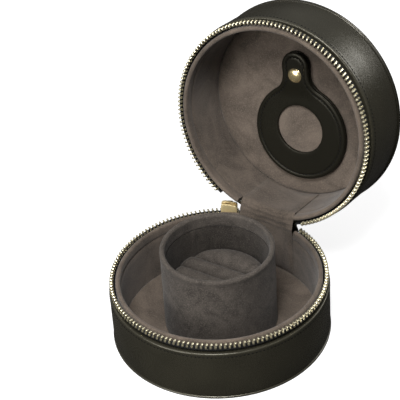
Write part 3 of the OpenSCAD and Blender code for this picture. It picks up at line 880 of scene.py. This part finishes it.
class WALLS_OT_make(bpy.types.Operator):
    """Make the base's and the lid's wall leather with their stitched edges"""

    bl_idname = "travel_case.walls"
    bl_label = "Wall leather"

    def execute(self, context):
        s = context.scene.case_sizes
        radius, top = scaled(s.radius), scaled(s.base_height)
        halves = (("base", BOARD_FOOT, None), ("lid", mirrored(scaled(s.lid_top)), on_lid))
        for body, foot, place in halves:
            skin = lathe(lambda angle: wall_section(foot, top, radius))
            piece(f"{body}_wall_skin", skin, "Wall leather", body, [f"{body}_wall_leather"], place)
        bare = 17.5
        arc = (HINGE_SIDE + bare, HINGE_SIDE + 360.0 - bare)
        for body, foot, place in halves:
            rows = stitch_ring(radius - 0.04, top - 2.25, arc, place)
            shown(f"{body}_wall_stitches", rows, "Waxed thread", body)
        return {"FINISHED"}


def lining_angles(half):
    """Even steps with a pair of close ones at each side of the hinge's cut."""
    out = [angle for angle in ROUND if abs(abs(angle - HINGE_SIDE) - half) > 0.7]
    for side in (HINGE_SIDE - half, HINGE_SIDE + half):
        out += [side - 0.12, side + 0.12]
    return sorted(out)


def lining_section(foot, notch, half):
    """Padded suede with a rolled collar over a sewn line, cut down to the notch beside the hinge."""
    s = bpy.context.scene.case_sizes
    inner, thick = scaled(s.inner_radius), scaled(s.lining_thickness)
    roll = thick / 2
    top = scaled(s.base_height) + 5.0
    shelf, behind, outer = 19.8, 51.6, 52.2
    sewn = (
        (0.0, roll, 0.5), (0.0, 3.6, 1.0), (0.02, 4.8, 0.5), (0.22, 5.15, 0.3), (0.24, 5.4, 0.3),
        (0.05, 5.8, 0.5),
    )

    def section(angle):
        cut = notch if abs(angle - HINGE_SIDE) < half else math.inf
        soft = 0.16 * smooth((abs(angle - HINGE_SIDE) - half) / 12.0)

        def at(r, z, give=1.0):
            sway = soft * give * wander(*around(3, angle), z * 0.11)
            return (r + sway, min(z, cut))

        loop = [(outer, foot), (outer, shelf), (behind, shelf), (behind, min(top - roll, cut))]
        for k in range(1, 8):
            out, up = around(roll, 180 * k / 8)
            loop.append(at(inner + roll + out, top - roll + up, 0.3))
        loop += [at(inner + out, top - down, give) for out, down, give in sewn]
        loop += [at(inner, z) for z in (24.0, 19.0, 14.0, 9.5, 6.5) if z > foot + 1.5]
        return [*loop, (inner, foot)]

    return section


class LININGS_OT_make(bpy.types.Operator):
    """Make the padded suede linings of the walls with their rolled collars"""

    bl_idname = "travel_case.linings"
    bl_label = "Suede linings"

    def execute(self, context):
        half = 19.1
        lid_foot = mirrored(scaled(context.scene.case_sizes.lid_top))
        for body, foot, notch, place in (("base", SUEDE_FOOT, 29.8, None), ("lid", lid_foot, 28.1, on_lid)):
            lining = lathe(lining_section(foot, notch, half), lining_angles(half))
            nodes = [f"{body}_wall_lining"]
            made = piece(f"{body}_wall_suede", lining, "Wall suede", body, nodes, place, 50.0)
        return {"FINISHED"}


def pad_disc(radius, low, high, crown):
    """A suede-covered disc with soft edges and a slight crown, from low to high."""

    def section(angle):
        loop = [(0.0, low), (radius * 0.6, low), (radius - 0.3, low), (radius, low + 0.25)]
        for r, drop in ((0.0, 0.75), (0.12, 0.45), (0.4, 0.2), (0.9, 0.05), (1.6, 0.0), (3.0, 0.0)):
            loop.append((radius - r, max(high - drop * 1.1, low + 0.3)))
        for share in (0.9, 0.78, 0.6, 0.4, 0.2):
            r = radius * share
            sway = 0.05 * wander(*around(r * 0.09, angle), 4.0)
            loop.append((r, high - crown + sway))
        return [*loop, (0.0, high - crown)]

    return section


class FLOORS_OT_make(bpy.types.Operator):
    """Make the suede floor and the suede ceiling"""

    bl_idname = "travel_case.floors"
    bl_label = "Floor and ceiling"

    def execute(self, context):
        ceiling = (mirrored(scaled(context.scene.case_sizes.lid_top)), mirrored(CEILING_Z))
        for name, body, radius, heights, place in (
            ("floor", "base", 49.2, (SUEDE_FOOT, 5.0), None),
            ("ceiling", "lid", 49.15, ceiling, on_lid),
        ):
            disc = lathe(pad_disc(radius, *heights, 0.06))
            nodes = [f"{body}_{name}_lining", f"{body}_{name}_foam"]
            made = piece(f"{name}_suede", disc, "Wall suede", body, nodes, place, 50.0)
        return {"FINISHED"}


class TAPES_OT_make(bpy.types.Operator):
    """Make the woven zipper tapes with the cord that the teeth grip"""

    bl_idname = "travel_case.tapes"
    bl_label = "Zipper tapes"

    def execute(self, context):
        mid = scaled(context.scene.zipper_sizes.tooth_radius)
        edge = scaled(context.scene.case_sizes.base_height)
        half, cord, low = 0.27, 0.34, 20.0
        inner, outer = 51.62, 52.18
        lean = mid - 51.9
        slant = 0.24
        side = ((half, 31.5), (cord, 31.75), (cord, 32.1), (half - 0.05, 32.25))

        def section(angle):
            return [
                (inner, low), (outer, low), (outer, edge), (outer + lean * 0.5, edge + lean * 0.45),
                (mid + half, edge + lean),
                *((mid + r, z) for r, z in side),
                *((mid - r, z) for r, z in side[::-1]),
                (mid - half, edge + lean + slant), (inner + lean * 0.5, edge + lean * 0.5 + slant),
                (inner, edge + slant),
            ]

        for name, body, first, place in (("lower", "base", 19.0, None), ("upper", "lid", 30.5, on_lid)):
            start, end, n = HINGE_SIDE + first, HINGE_SIDE + 360.0 - 19.0, 216
            angles = [start + (end - start) * i / n for i in range(n + 1)]
            tape = lathe(section, angles, closed=False)
            piece(f"{name}_tape", tape, "Tape weave", body, [f"{name}_zipper_tape"], place)
        return {"FINISHED"}


class TEETH_OT_make(bpy.types.Operator):
    """Make the two rows of brass teeth"""

    bl_idname = "travel_case.teeth"
    bl_label = "Zipper teeth"

    def execute(self, context):
        z = context.scene.zipper_sizes
        height, radius = scaled(z.tooth_height), scaled(z.tooth_radius)
        foot = SEAM_Z - 0.15 - height
        for name, body, first, count, place in (
            ("lower", "base", 110.4, z.lower_teeth, None),
            ("upper", "lid", 123.6, z.upper_teeth, on_lid),
        ):
            tooth = tooth_shape(height, scaled(z.tooth_depth))
            row = ring_of(tooth, "Tooth brass", count, first, z.tooth_step, radius, foot, 0.015, 2, place)
            shown(f"{name}_teeth", row, "Tooth brass", body, [f"{name}_zipper_teeth"], 35.0)
        return {"FINISHED"}


def seam(angle, where, half):
    """One at a seam's angle, falling off to nothing at half its width."""
    return smooth(1 - abs((angle - where + 180) % 360 - 180) / half)


def seam_angles(where, step, count):
    """Even steps with close ones about a seam."""
    return sorted({*ROUND, *(where + k * step for k in range(-count, count + 1))})


class CUFF_OT_make(bpy.types.Operator):
    """Make the cuff's suede sleeves with their seams, rolled rim and floor pad"""

    bl_idname = "travel_case.cuff"
    bl_label = "Cuff"

    def execute(self, context):
        c = context.scene.cuff_sizes
        out, rim_z, rim = scaled(c.radius), scaled(c.rim_height), scaled(c.rim)
        core_in, core_out, inner = 26.6, 27.8, 25.9
        foot, floor = 5.0, 6.2
        hem = rim_z - 6.0
        under = inner + 0.1
        outer_seam, inner_seam = 205.0, 150.0

        def outside(angle):
            dip = 0.32 * seam(angle, outer_seam, 1.1) - 0.1 * seam(angle, outer_seam - 2.0, 2.2)

            def at(inset, z, give=1.0):
                sway = 0.13 * give * wander(*around(2.4, angle), z * 0.09)
                return (out - inset - dip * give + sway, z)

            loop = [(core_out, foot), (out, foot), at(0.05, 12.0), at(0.1, 20.0), at(0.1, 28.0)]
            loop += [at(0.1, 36.0), at(0.12, rim_z - 5.7), at(0.26, rim_z - 2.2)]
            loop += [at(0.2, rim_z - 1.4, 0.6), at(0.02, rim_z - 0.7, 0.6)]
            swell = 0.05 * wander(*around(5, angle), 9.0)
            for k in range(11):
                a = math.pi * k / 10
                loop.append((out - rim + (rim + swell) * math.cos(a), rim_z + rim * math.sin(a)))
            loop += [(under, rim_z - 1.3), (under, hem + 1.7), (inner + 0.02, hem + 0.6)]
            loop += [(inner + 0.28, hem + 0.1), (core_in, hem), (core_in, rim_z - 0.02)]
            return [*loop, (core_out, rim_z - 0.02)]

        def inside_wall(angle):
            ridge = 0.34 * seam(angle, inner_seam, 4.2)

            def at(z):
                sway = 0.12 * wander(*around(3.1, angle), 5 + z * 0.1)
                return (inner - ridge + max(sway, -0.04), z)

            walls = [at(z) for z in (hem - 0.5, 34.0, 27.0, 20.0, 13.0)]
            return [(core_in, floor), (core_in, hem), (under - ridge * 0.5, hem), *walls, (inner, floor)]

        sleeve = lathe(outside, seam_angles(outer_seam, 0.3, 8))
        made = piece("cuff_outside", sleeve, "Cuff suede", "base", ["cuff_outer_sleeve"], angle=60.0)
        # The inside sleeve and the floor pad wear the darkened suede: painted shade of the cup's inside.
        sleeve = lathe(inside_wall, seam_angles(inner_seam, 0.5, 10))
        made = piece("cuff_inside", sleeve, "Inner cuff suede", "base", ["cuff_inner_sleeve"], angle=60.0)
        disc = lathe(pad_disc(26.5, foot, floor, 0.02))
        made = piece("cuff_floor_pad", disc, "Inner cuff suede", "base", ["cuff_disc"], angle=50.0)
        return {"FINISHED"}


def settled(roll):
    """Applies the roll's modifiers."""
    seen = roll.evaluated_get(bpy.context.evaluated_depsgraph_get())
    old, roll.data = roll.data, bpy.data.meshes.new_from_object(seen)
    roll.modifiers.clear()
    bpy.data.meshes.remove(old)


def places_of(mesh):
    return np.array([v.co for v in mesh.vertices]).reshape(-1, 3)


def puffed(roll, cap):
    """Air in the roll for 20 frames, with each point's way limited."""
    scene = bpy.context.scene
    frames = 20
    start = places_of(roll.data)
    air = roll.modifiers.new("Air", "CLOTH")
    air.settings.use_pressure = True
    air.settings.uniform_pressure_force = 4.0
    air.settings.mass = 0.2
    air.settings.effector_weights.gravity = 0.0
    air.point_cache.frame_start, air.point_cache.frame_end = 1, frames
    for step in range(1, frames + 1):
        scene.frame_set(step)
    way = places_of(roll.evaluated_get(bpy.context.evaluated_depsgraph_get()).data) - start
    size = np.linalg.norm(way, axis=1, keepdims=True)
    way *= np.minimum(1.0, cap / np.maximum(size, 1e-9))
    roll.modifiers.remove(air)
    scene.frame_set(1)
    roll.data.vertices.foreach_set("co", (start + way).astype(np.float32).ravel())
    roll.data.update()


def kept_in(roll, low, high):
    """Keeps the puffed roll between its neighbours and in the cuff, in metres."""
    spare, cuff = 0.0002, 0.0256
    for vert in roll.data.vertices:
        p = vert.co
        p.y = min(max(p.y, low[1] - spare), high[1] + spare)
        p.z = max(p.z, low[2])
        r = math.hypot(p.x, p.y)
        if r > cuff:
            p.x, p.y = p.x * cuff / r, p.y * cuff / r


class ROLLS_OT_make(bpy.types.Operator):
    """Make the four ring rolls: remeshed, puffed out by simulation and smoothed"""

    bl_idname = "travel_case.ring_rolls"
    bl_label = "Ring rolls"

    def execute(self, context):
        for k in (1, 2, 3, 4):
            node = f"ring_roll_{k}"
            roll = linked(node + "_pad", mesh_of(node, merged(node), 1.0))
            even = roll.modifiers.new("Even", "REMESH")
            even.mode, even.voxel_size = "VOXEL", 0.0015
            soft = roll.modifiers.new("Soft", "SMOOTH")
            soft.factor, soft.iterations = 0.6, 5
            settled(roll)
            puffed(roll, context.scene.cuff_sizes.puff)
            fine = roll.modifiers.new("Fine", "SUBSURF")
            fine.levels = fine.render_levels = 1
            settled(roll)
            kept_in(roll, *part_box(node))
            dressed(roll, "Cuff suede", "base", [node], 70.0)
        return {"FINISHED"}


class TOP_OT_make(bpy.types.Operator):
    """Make the padded top with its gathered seam, its welt and the seam's stitches"""

    bl_idname = "travel_case.top"
    bl_label = "Padded top"

    def execute(self, context):
        s = context.scene.case_sizes
        rise, pucker = scaled(s.dome_height), scaled(s.pucker)
        board = scaled(s.lid_top)
        rim, foot, low = 52.6, 68.9, 68.02
        tuck = [(0.0, low), (40.0, low), (53.4, low), (53.7, 68.3), (53.6, 68.75), (53.1, foot + 0.05)]
        gathers, steps = 64, 26

        def section(angle):
            a = math.radians(angle)
            gather = 0.5 + 0.5 * math.sin(a * gathers + 4.5 * wander(*around(3, angle), 1.0))
            gather *= smooth(0.55 + 0.9 * wander(*around(4, angle), 6.0))
            loop = list(tuck)
            for i in range(steps):
                share = math.sin(math.pi / 2 * (1 - i / steps))
                z = foot + rise * (1 - min(share, 1.0) ** 2.6) ** 0.5
                near = smooth((share - 0.9) / 0.09) * (1 - smooth((share - 0.985) / 0.02))
                sway = 0.07 * wander(*around(rim * share * 0.07, angle), 3.0)
                loop.append((rim * share, z - pucker * near * gather + sway * (1 - share)))
            return [*loop, (0.0, foot + rise)]

        def welt(angle):
            loop = [(53.82, foot + 0.09), (53.82, board + 0.02), (54.9, board + 0.02)]
            for mid in (board + 0.625, board + 1.875):
                for k in range(9):
                    a = -math.pi / 2 + math.pi * k / 8
                    loop.append((54.875 + 0.625 * math.cos(a), mid + 0.615 * math.sin(a)))
            return loop

        dome = lathe(section, [float(i) for i in range(360)])
        nodes = ["lid_top_leather", "lid_top_foam"]
        made = piece("padded_top", dome, "Wall leather", "lid", nodes, opened, 60.0)
        piece("top_welt", lathe(welt), "Piping leather", "lid", ["lid_welt"], opened, 70.0)
        rows = stitch_ring(rim - 0.9, foot + 1.42, place=opened, tilt=-62.0)
        shown("top_stitches", rows, "Waxed thread", "lid")
        return {"FINISHED"}


def strip_line(x, radius, foot, bend_foot, bend_head, head, low_pull, high_pull):
    """The hinge strip's line at one place across it: up the base, over the gap and along the open lid."""
    y = math.sqrt(radius * radius - x * x)
    straight, curved = 10, 26
    a = Vector((y, bend_foot))
    b = opened((0, y, bend_head)).yz
    c, s = around(1.0, LID_OPEN)
    p = [a, a + Vector((0, low_pull)), b + Vector((-s, -c)) * high_pull, b]
    line = [Vector((y, foot + (bend_foot - foot) * i / straight)) for i in range(straight)]
    for i in range(curved + 1):
        t = i / curved
        r = 1 - t
        line.append(p[0] * r ** 3 + p[1] * 3 * t * r ** 2 + p[2] * 3 * t * t * r + p[3] * t ** 3)
    for i in range(1, straight + 1):
        line.append(opened((0, y, bend_head + (head - bend_head) * i / straight)).yz)
    return line


def strip_shape(half, thick, wrinkle, press, spec):
    """A strip of even thickness along its lines, with soft creases in the part that bends."""
    rows = []
    across = 30
    for j in range(across + 1):
        x = half * (2 * j / across - 1)
        line = strip_line(x, *spec)
        last = len(line) - 1
        front, back = [], []
        for i, p in enumerate(line):
            d = (line[min(i + 1, last)] - line[max(i - 1, 0)]).normalized()
            side = Vector((d.y, -d.x))
            bend = smooth((i - 8) / 6) * smooth((last - 8 - i) / 6)
            wave = math.sin(i * 1.15 + 2.0 * wander(x * 0.1, 1.0, 0.0)) * 0.6
            give = wrinkle * bend * (wave + 0.8 * wander(x * 0.16, i * 0.3, 2.0))
            edge = smooth(min(j, across - j) / 1.6) * smooth((min(i, last - i) + 0.4) / 1.2)
            t = thick * (0.28 + 0.72 * edge) / 2
            give += press * (1 - bend) * (1 - smooth(min(j, across - j, i, last - i) / 3.0))
            front.append((x, *(p + side * (t + give))))
            back.append((x, *(p - side * (t - give))))
        rows.append(front + back[::-1])
    shape = bmesh.new()
    rings = bridged(shape, rows)
    n = len(rings[0])
    for ring in (rings[0], rings[-1]):
        for i in range(n // 2 - 1):
            shape.faces.new((ring[i], ring[i + 1], ring[n - 2 - i], ring[n - 1 - i]))
    return shape


class STRIPS_OT_make(bpy.types.Operator):
    """Make the hinge's leather strip outside and its suede strip inside"""

    bl_idname = "travel_case.hinge_strips"
    bl_label = "Hinge strips"

    def execute(self, context):
        half, wide = 15.5, 0.0314
        outer = (55.75, 16.0, 28.0, 42.0, 51.6, 2.5, 3.5)
        inner = (48.5, 6.2, 30.5, 39.5, 63.6, 5.0, 3.0)
        for skin, node, shape, spec, low, high, kind in (
            ("Wall leather", "leather", (0.86, 0.1, -0.5), outer, 0.0282, 0.0308, "skin"),
            ("Wall suede", "lining", (0.94, 0.22, 0.6), inner, 0.0306, 0.0354, "suede"),
        ):
            strip = strip_shape(half, *shape, spec)
            name = "hinge_strip_" + skin.split()[1]
            made = piece(name, strip, skin, None, [f"hinge_{node}"], angle=70.0)
            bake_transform(made)
        side = math.degrees(math.asin((half - 1.2) / outer[0]))
        for body, z, place in (("base", 17.4, None), ("lid", 50.2, opened)):
            rows = stitch_ring(outer[0] + 0.37, z, (HINGE_SIDE - side, HINGE_SIDE + side), place)
            shown(f"hinge_stitches_{body}", rows, "Waxed thread", body)
        return {"FINISHED"}


def keyhole(h, inset=0.0):
    """The holder's outline, moved in by inset: round end, fillets and the neck's round tip."""
    r, fillet, neck, reach = (scaled(v) for v in (h.radius, h.fillet, h.neck, h.reach))
    cx = neck + fillet
    cy = -math.sqrt((r + fillet) ** 2 - cx * cx)
    turn = math.degrees(math.atan2(cy, cx))
    tip = -reach + neck

    def arc(mx, my, rad, start, end, n):
        points = [around(rad, start + (end - start) * i / n) for i in range(n + 1)]
        return [(mx + u, my + v) for u, v in points]

    left = arc(-cx, cy, fillet + inset, -turn, 0, 14)
    right = arc(cx, cy, fillet + inset, 180, 180 + turn, 14)
    low = [(-neck + inset, cy + (tip - cy) * k / 4) for k in (1, 2, 3)]
    high = [(neck - inset, tip + (cy - tip) * k / 4) for k in (1, 2, 3)]
    end, head = arc(0, 0, r - inset, turn, 180 - turn, 110), arc(0, tip, neck - inset, -180, 0, 30)
    return end[:-1] + left + low + head + high + right[:-1]


def neck_lift(v):
    """The neck's leather climbs over the snap's socket."""
    return smooth((-18.5 - v) / 11.0)


def over(u, v, d):
    """A point of the front's upper side, lifted with the neck."""
    return (u, v, d + neck_lift(v))


class HOLDER_OT_make(bpy.types.Operator):
    """Make the tag holder: back, slot lining, front with window and neck, and stitches"""

    bl_idname = "travel_case.tag_holder"
    bl_label = "Tag holder"

    def execute(self, context):
        h = context.scene.holder_sizes
        self.back(h)
        self.front(h)
        disc = lathe(lambda angle: [(0.0, 1.31), (21.4, 1.31), (21.5, 1.4), (21.3, 1.5), (0.0, 1.5)])
        piece("holder_slot_suede", disc, "Wall suede", "lid", place=on_holder)
        self.stitches(h)
        return {"FINISHED"}

    def back(self, h):
        low, top = 0.02, 1.3
        edge = ((0.35, low), (0.1, 0.12), (0.0, 0.35), (0.0, 1.05), (0.1, 1.22), (0.3, top))
        shape = bmesh.new()
        bridged(shape, [[(u, v, d) for u, v in keyhole(h, e)] for e, d in edge])
        filled(shape, keyhole(h, 0.35), [], lambda u, v: low, 3.0)
        filled(shape, keyhole(h, 0.3), [], lambda u, v: top, 3.0)
        piece("holder_back_leather", shape, "Holder leather", "lid", ["holder_back"], on_holder)

    def front(self, h):
        window, drop = scaled(h.window), 1.8
        top, low = 2.9, 1.32
        border = (
            (3.9, top), (3.3, 2.89), (2.95, 2.8), (2.75, 2.7), (2.45, 2.7), (2.2, 2.84), (1.8, 2.95),
            (1.25, 2.94), (0.75, 2.82), (0.4, 2.66), (0.15, 2.44), (0.0, 2.1), (0.0, 1.7), (0.1, 1.48),
        )
        hole = ((0.45, top), (0.15, 2.84), (0.02, 2.68), (0.0, 2.4), (0.0, 1.6), (0.15, 1.36), (0.4, low))

        def ring(radius, n=96):
            return [(u, v - drop) for u, v in (around(radius, 360 * i / n) for i in range(n))]

        def under(u, v):
            return low + neck_lift(v) * 1.3

        shape = bmesh.new()
        loops = [[over(u, v, d) for u, v in keyhole(h, e)] for e, d in border]
        loops.append([(u, v, under(u, v)) for u, v in keyhole(h, 0.3)])
        bridged(shape, loops)
        bridged(shape, [[(u, v, d) for u, v in ring(window + r)] for r, d in hole])
        filled(shape, keyhole(h, border[0][0]), [ring(window + 0.45)], lambda u, v: over(u, v, top)[2], 1.5)
        filled(shape, keyhole(h, 0.3), [ring(window + 0.4)], under, 2.2)
        nodes = ["holder_front", "holder_tab"]
        made = piece("holder_front_leather", shape, "Holder leather", None, nodes, on_holder, 45.0)
        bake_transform(made)

    def stitches(self, h):
        way = keyhole(h, scaled(h.stitch_inset))
        up = (on_holder((0, 0, 1)) - on_holder((0, 0, 0))).normalized()
        cut = -25.4
        neck = [p for p in way if p[1] < cut]
        start = way.index(neck[0])
        rest = way[start + len(neck):] + way[:start]
        for name, body, path in (("holder", "lid", rest), ("neck", "tab", neck)):
            points = [on_holder(over(u, v, 2.8)) for u, v in path]
            shown(f"{name}_stitches", stitch_path(points, up), "Waxed thread", body)


class SNAP_OT_make(bpy.types.Operator):
    """Make the snap: domed cap, socket and stud"""

    bl_idname = "travel_case.snap"
    bl_label = "Snap"

    def execute(self, context):
        along, low, brim, dome, rise = -31.4, 3.72, 4.3, 3.5, 1.08

        def cap(angle):
            loop = [(0.0, low), (3.2, low), (3.55, 3.86), (3.78, 4.02), (3.78, 4.16), (3.62, brim)]
            for k in range(1, 11):
                a = math.pi / 2 * k / 11
                loop.append((dome * math.cos(a), brim + rise * math.sin(a)))
            return [*loop, (0.0, brim + rise)]

        shape = lathe(cap, [i * 6.0 for i in range(60)], about=(0.0, along))
        piece("snap_cap_metal", shape, "Plated fittings", "tab", ["snap_cap"], on_holder, 40.0)
        for part, body in (("socket", "tab"), ("stud", "lid")):
            refined(f"snap_{part}_metal", f"snap_{part}", "Plated fittings", body, 0.05)
        return {"FINISHED"}


class SLIDER_OT_make(bpy.types.Operator):
    """Make the slider with its bridge, and the pull with its leather tab"""

    bl_idname = "travel_case.slider"
    bl_label = "Slider and pull"

    def execute(self, context):
        for name, node, skin, body, bevel in (
            ("slider_metal", "slider_body", "Slider plating", "slider", 0.12),
            ("slider_bridge_metal", "slider_bridge", "Slider plating", "slider", 0.1),
            ("pull_eye_metal", "pull_eye", "Slider plating", "pull", 0.1),
            ("pull_leather", "pull_tab", "Holder leather", "pull", 0.35),
        ):
            refined(name, node, skin, body, bevel)
        park, foot = 115.5, 12.27
        out, along = Vector((*around(1.0, park), 0)), Vector((*around(1.0, park + 90.0), 0))
        right = [(2.6, 3.4), (2.6, 7.0), (2.6, 14.0), (1.9, 16.2)]
        outline = [(0, 1.2), *right, (0, 16.6), *((-a, b) for a, b in right[::-1])]
        for name, radius, up in (("out", 58.99, out), ("in", 56.77, -out)):
            middle = out * radius + Vector((0, 0, foot))
            points = [middle + along * (a * 0.92) + Vector((0, 0, b * 0.98)) for a, b in outline]
            shown(f"pull_stitches_{name}", stitch_path(points, up, True, 1.0), "Waxed thread", "pull")
        return {"FINISHED"}


class BOARDS_OT_make(bpy.types.Operator):
    """Paint the boards inside the walls, the floor and the top"""

    bl_idname = "travel_case.boards"
    bl_label = "Boards"

    def execute(self, context):
        boards = ("base_bottom_board", "base_wall_board", "lid_wall_board", "lid_top_board", "cuff_core")
        for name in boards:
            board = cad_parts[name]
            if not board.material_slots:
                board.data.materials.append(None)
            for slot in board.material_slots:
                slot.material = bpy.data.materials["Grey board"]
        return {"FINISHED"}


def studio_floor(tint):
    """A pale floor to the camera that gives little light to the case."""
    paint = bpy.data.materials.new("Studio floor")
    paint.use_nodes = True
    w = Wiring(paint.node_tree)
    seen = w.node("ShaderNodeLightPath").outputs["Is Camera Ray"]
    bounced = (0.035, 0.034, 0.032, 1.0)
    plain = w.node("ShaderNodeBsdfDiffuse", {"Color": w.mix(seen, bounced, (*tint, 1.0))})
    lift = w.node("ShaderNodeEmission", {"Color": (1, 1, 1, 1), "Strength": w.product(seen, 0.72)})
    both = w.node("ShaderNodeAddShader", {0: plain.outputs[0], 1: lift.outputs[0]})
    w.node("ShaderNodeOutputMaterial", {"Surface": both.outputs[0]})
    half = 6.0
    corners = [(-half, -half, 0), (half, -half, 0), (half, half, 0), (-half, half, 0)]
    mesh = bpy.data.meshes.new("studio_floor")
    mesh.from_pydata(corners, [], [(0, 1, 2, 3)])
    mesh.materials.append(paint)
    linked("studio_floor", mesh)


def studio_world():
    """White to the camera, and to the case a dome that is brightest from above."""
    world = bpy.data.worlds.new("Studio")
    world.use_nodes = True
    w = Wiring(world.node_tree)
    seen = w.node("ShaderNodeLightPath").outputs["Is Camera Ray"]
    way = w.node("ShaderNodeTexCoord").outputs["Generated"]
    up = w.vector("DOT_PRODUCT", way, (-0.1, -0.2, 0.97)).outputs["Value"]
    strength = w.math("MAXIMUM", w.ramp(up, -0.1, 0.95, 0.05, 0.6), seen)
    sky = w.node("ShaderNodeBackground", {"Color": (1.0, 1.0, 1.0, 1.0), "Strength": strength})
    w.node("ShaderNodeOutputWorld", {"Surface": sky.outputs[0]})
    bpy.context.scene.world = world


def studio_lamp(name, at, size, power):
    """A round soft lamp that looks at the case."""
    data = bpy.data.lights.new(name, "AREA")
    data.shape, data.size, data.energy = "DISK", size, power
    lamp = linked(name, data)
    lamp.location = at
    lamp.rotation_mode = "QUATERNION"
    lamp.rotation_quaternion = (Vector(at) - Vector((0, 0.01, 0.04))).to_track_quat("Z", "Y")


def studio_camera():
    """The photograph's view: turned, raised and rolled about the case, then aimed a little aside of it."""
    azimuth, height, roll = (math.radians(v) for v in (33.86, 38.78, -3.78))
    distance, middle, aside, above = 0.801, Vector((0, 0, 0.03)), 0.01185, 0.04872
    level = math.cos(height)
    back = Vector((math.sin(azimuth) * level, -math.cos(azimuth) * level, math.sin(height)))
    ahead = -back
    right = ahead.cross(Vector((0, 0, 1))).normalized()
    up = right.cross(ahead)
    rolled_right = right * math.cos(roll) + up * math.sin(roll)
    rolled_up = up * math.cos(roll) - right * math.sin(roll)
    aim = (ahead - rolled_right * aside + rolled_up * above).normalized()
    turn = ahead.rotation_difference(aim)
    axes = Matrix((turn @ rolled_right, turn @ rolled_up, -(turn @ ahead))).transposed()
    data = bpy.data.cameras.new("Camera")
    data.sensor_width, data.lens = 36.0, 144.7
    data.clip_start, data.clip_end = 0.05, 20.0
    camera = linked("Camera", data)
    camera.location = middle + back * distance
    camera.rotation_mode = "QUATERNION"
    camera.rotation_quaternion = axes.to_quaternion()
    bpy.context.scene.camera = camera


class STAGE_OT_make(bpy.types.Operator):
    """Make the floor, the soft lights and the camera"""

    bl_idname = "travel_case.stage"
    bl_label = "Stage"

    def execute(self, context):
        studio_floor(context.scene.case_colours.floor)
        studio_world()
        studio_lamp("Key", (0.22, -0.55, 1.1), 0.45, 15.0)
        studio_lamp("Fill", (-0.3, -1.05, 0.4), 0.7, 8.0)
        studio_lamp("Back", (0.5, 0.85, 0.55), 0.5, 3.0)
        studio_camera()
        context.scene.view_settings.view_transform = "Standard"
        return {"FINISHED"}


MAKERS = (
    FINISHES_OT_make, UNDERSIDE_OT_make, WALLS_OT_make, LININGS_OT_make, FLOORS_OT_make, TAPES_OT_make,
    TEETH_OT_make, CUFF_OT_make, ROLLS_OT_make, TOP_OT_make, STRIPS_OT_make, HOLDER_OT_make, SNAP_OT_make,
    SLIDER_OT_make, BOARDS_OT_make, STAGE_OT_make,
)
SIZES = (
    ("case_sizes", CaseSizes), ("zipper_sizes", ZipperSizes), ("cuff_sizes", CuffSizes),
    ("holder_sizes", HolderSizes), ("case_colours", CaseColours),
)


class CASE_PT_panel(bpy.types.Panel):
    """Sizes, colours and makers of the travel case"""

    bl_idname = "CASE_PT_panel"
    bl_label = "Travel case"
    bl_space_type = "VIEW_3D"
    bl_region_type = "UI"
    bl_category = "Travel case"

    def draw(self, context):
        for name, group in SIZES:
            box = self.layout.box()
            box.label(text=group.__doc__)
            for key in group.__annotations__:
                box.prop(getattr(context.scene, name), key)
        for maker in MAKERS:
            self.layout.operator(maker.bl_idname)


def register():
    for name, group in SIZES:
        bpy.utils.register_class(group)
        setattr(bpy.types.Scene, name, bpy.props.PointerProperty(type=group))
    for maker in (*MAKERS, CASE_PT_panel):
        bpy.utils.register_class(maker)


def unregister():
    for maker in reversed((*MAKERS, CASE_PT_panel)):
        bpy.utils.unregister_class(maker)
    for name, group in reversed(SIZES):
        delattr(bpy.types.Scene, name)
        bpy.utils.unregister_class(group)


def main():
    register()
    for maker in MAKERS:
        group, name = maker.bl_idname.split(".")
        getattr(getattr(bpy.ops, group), name)()


if __name__ == "__main__":
    main()
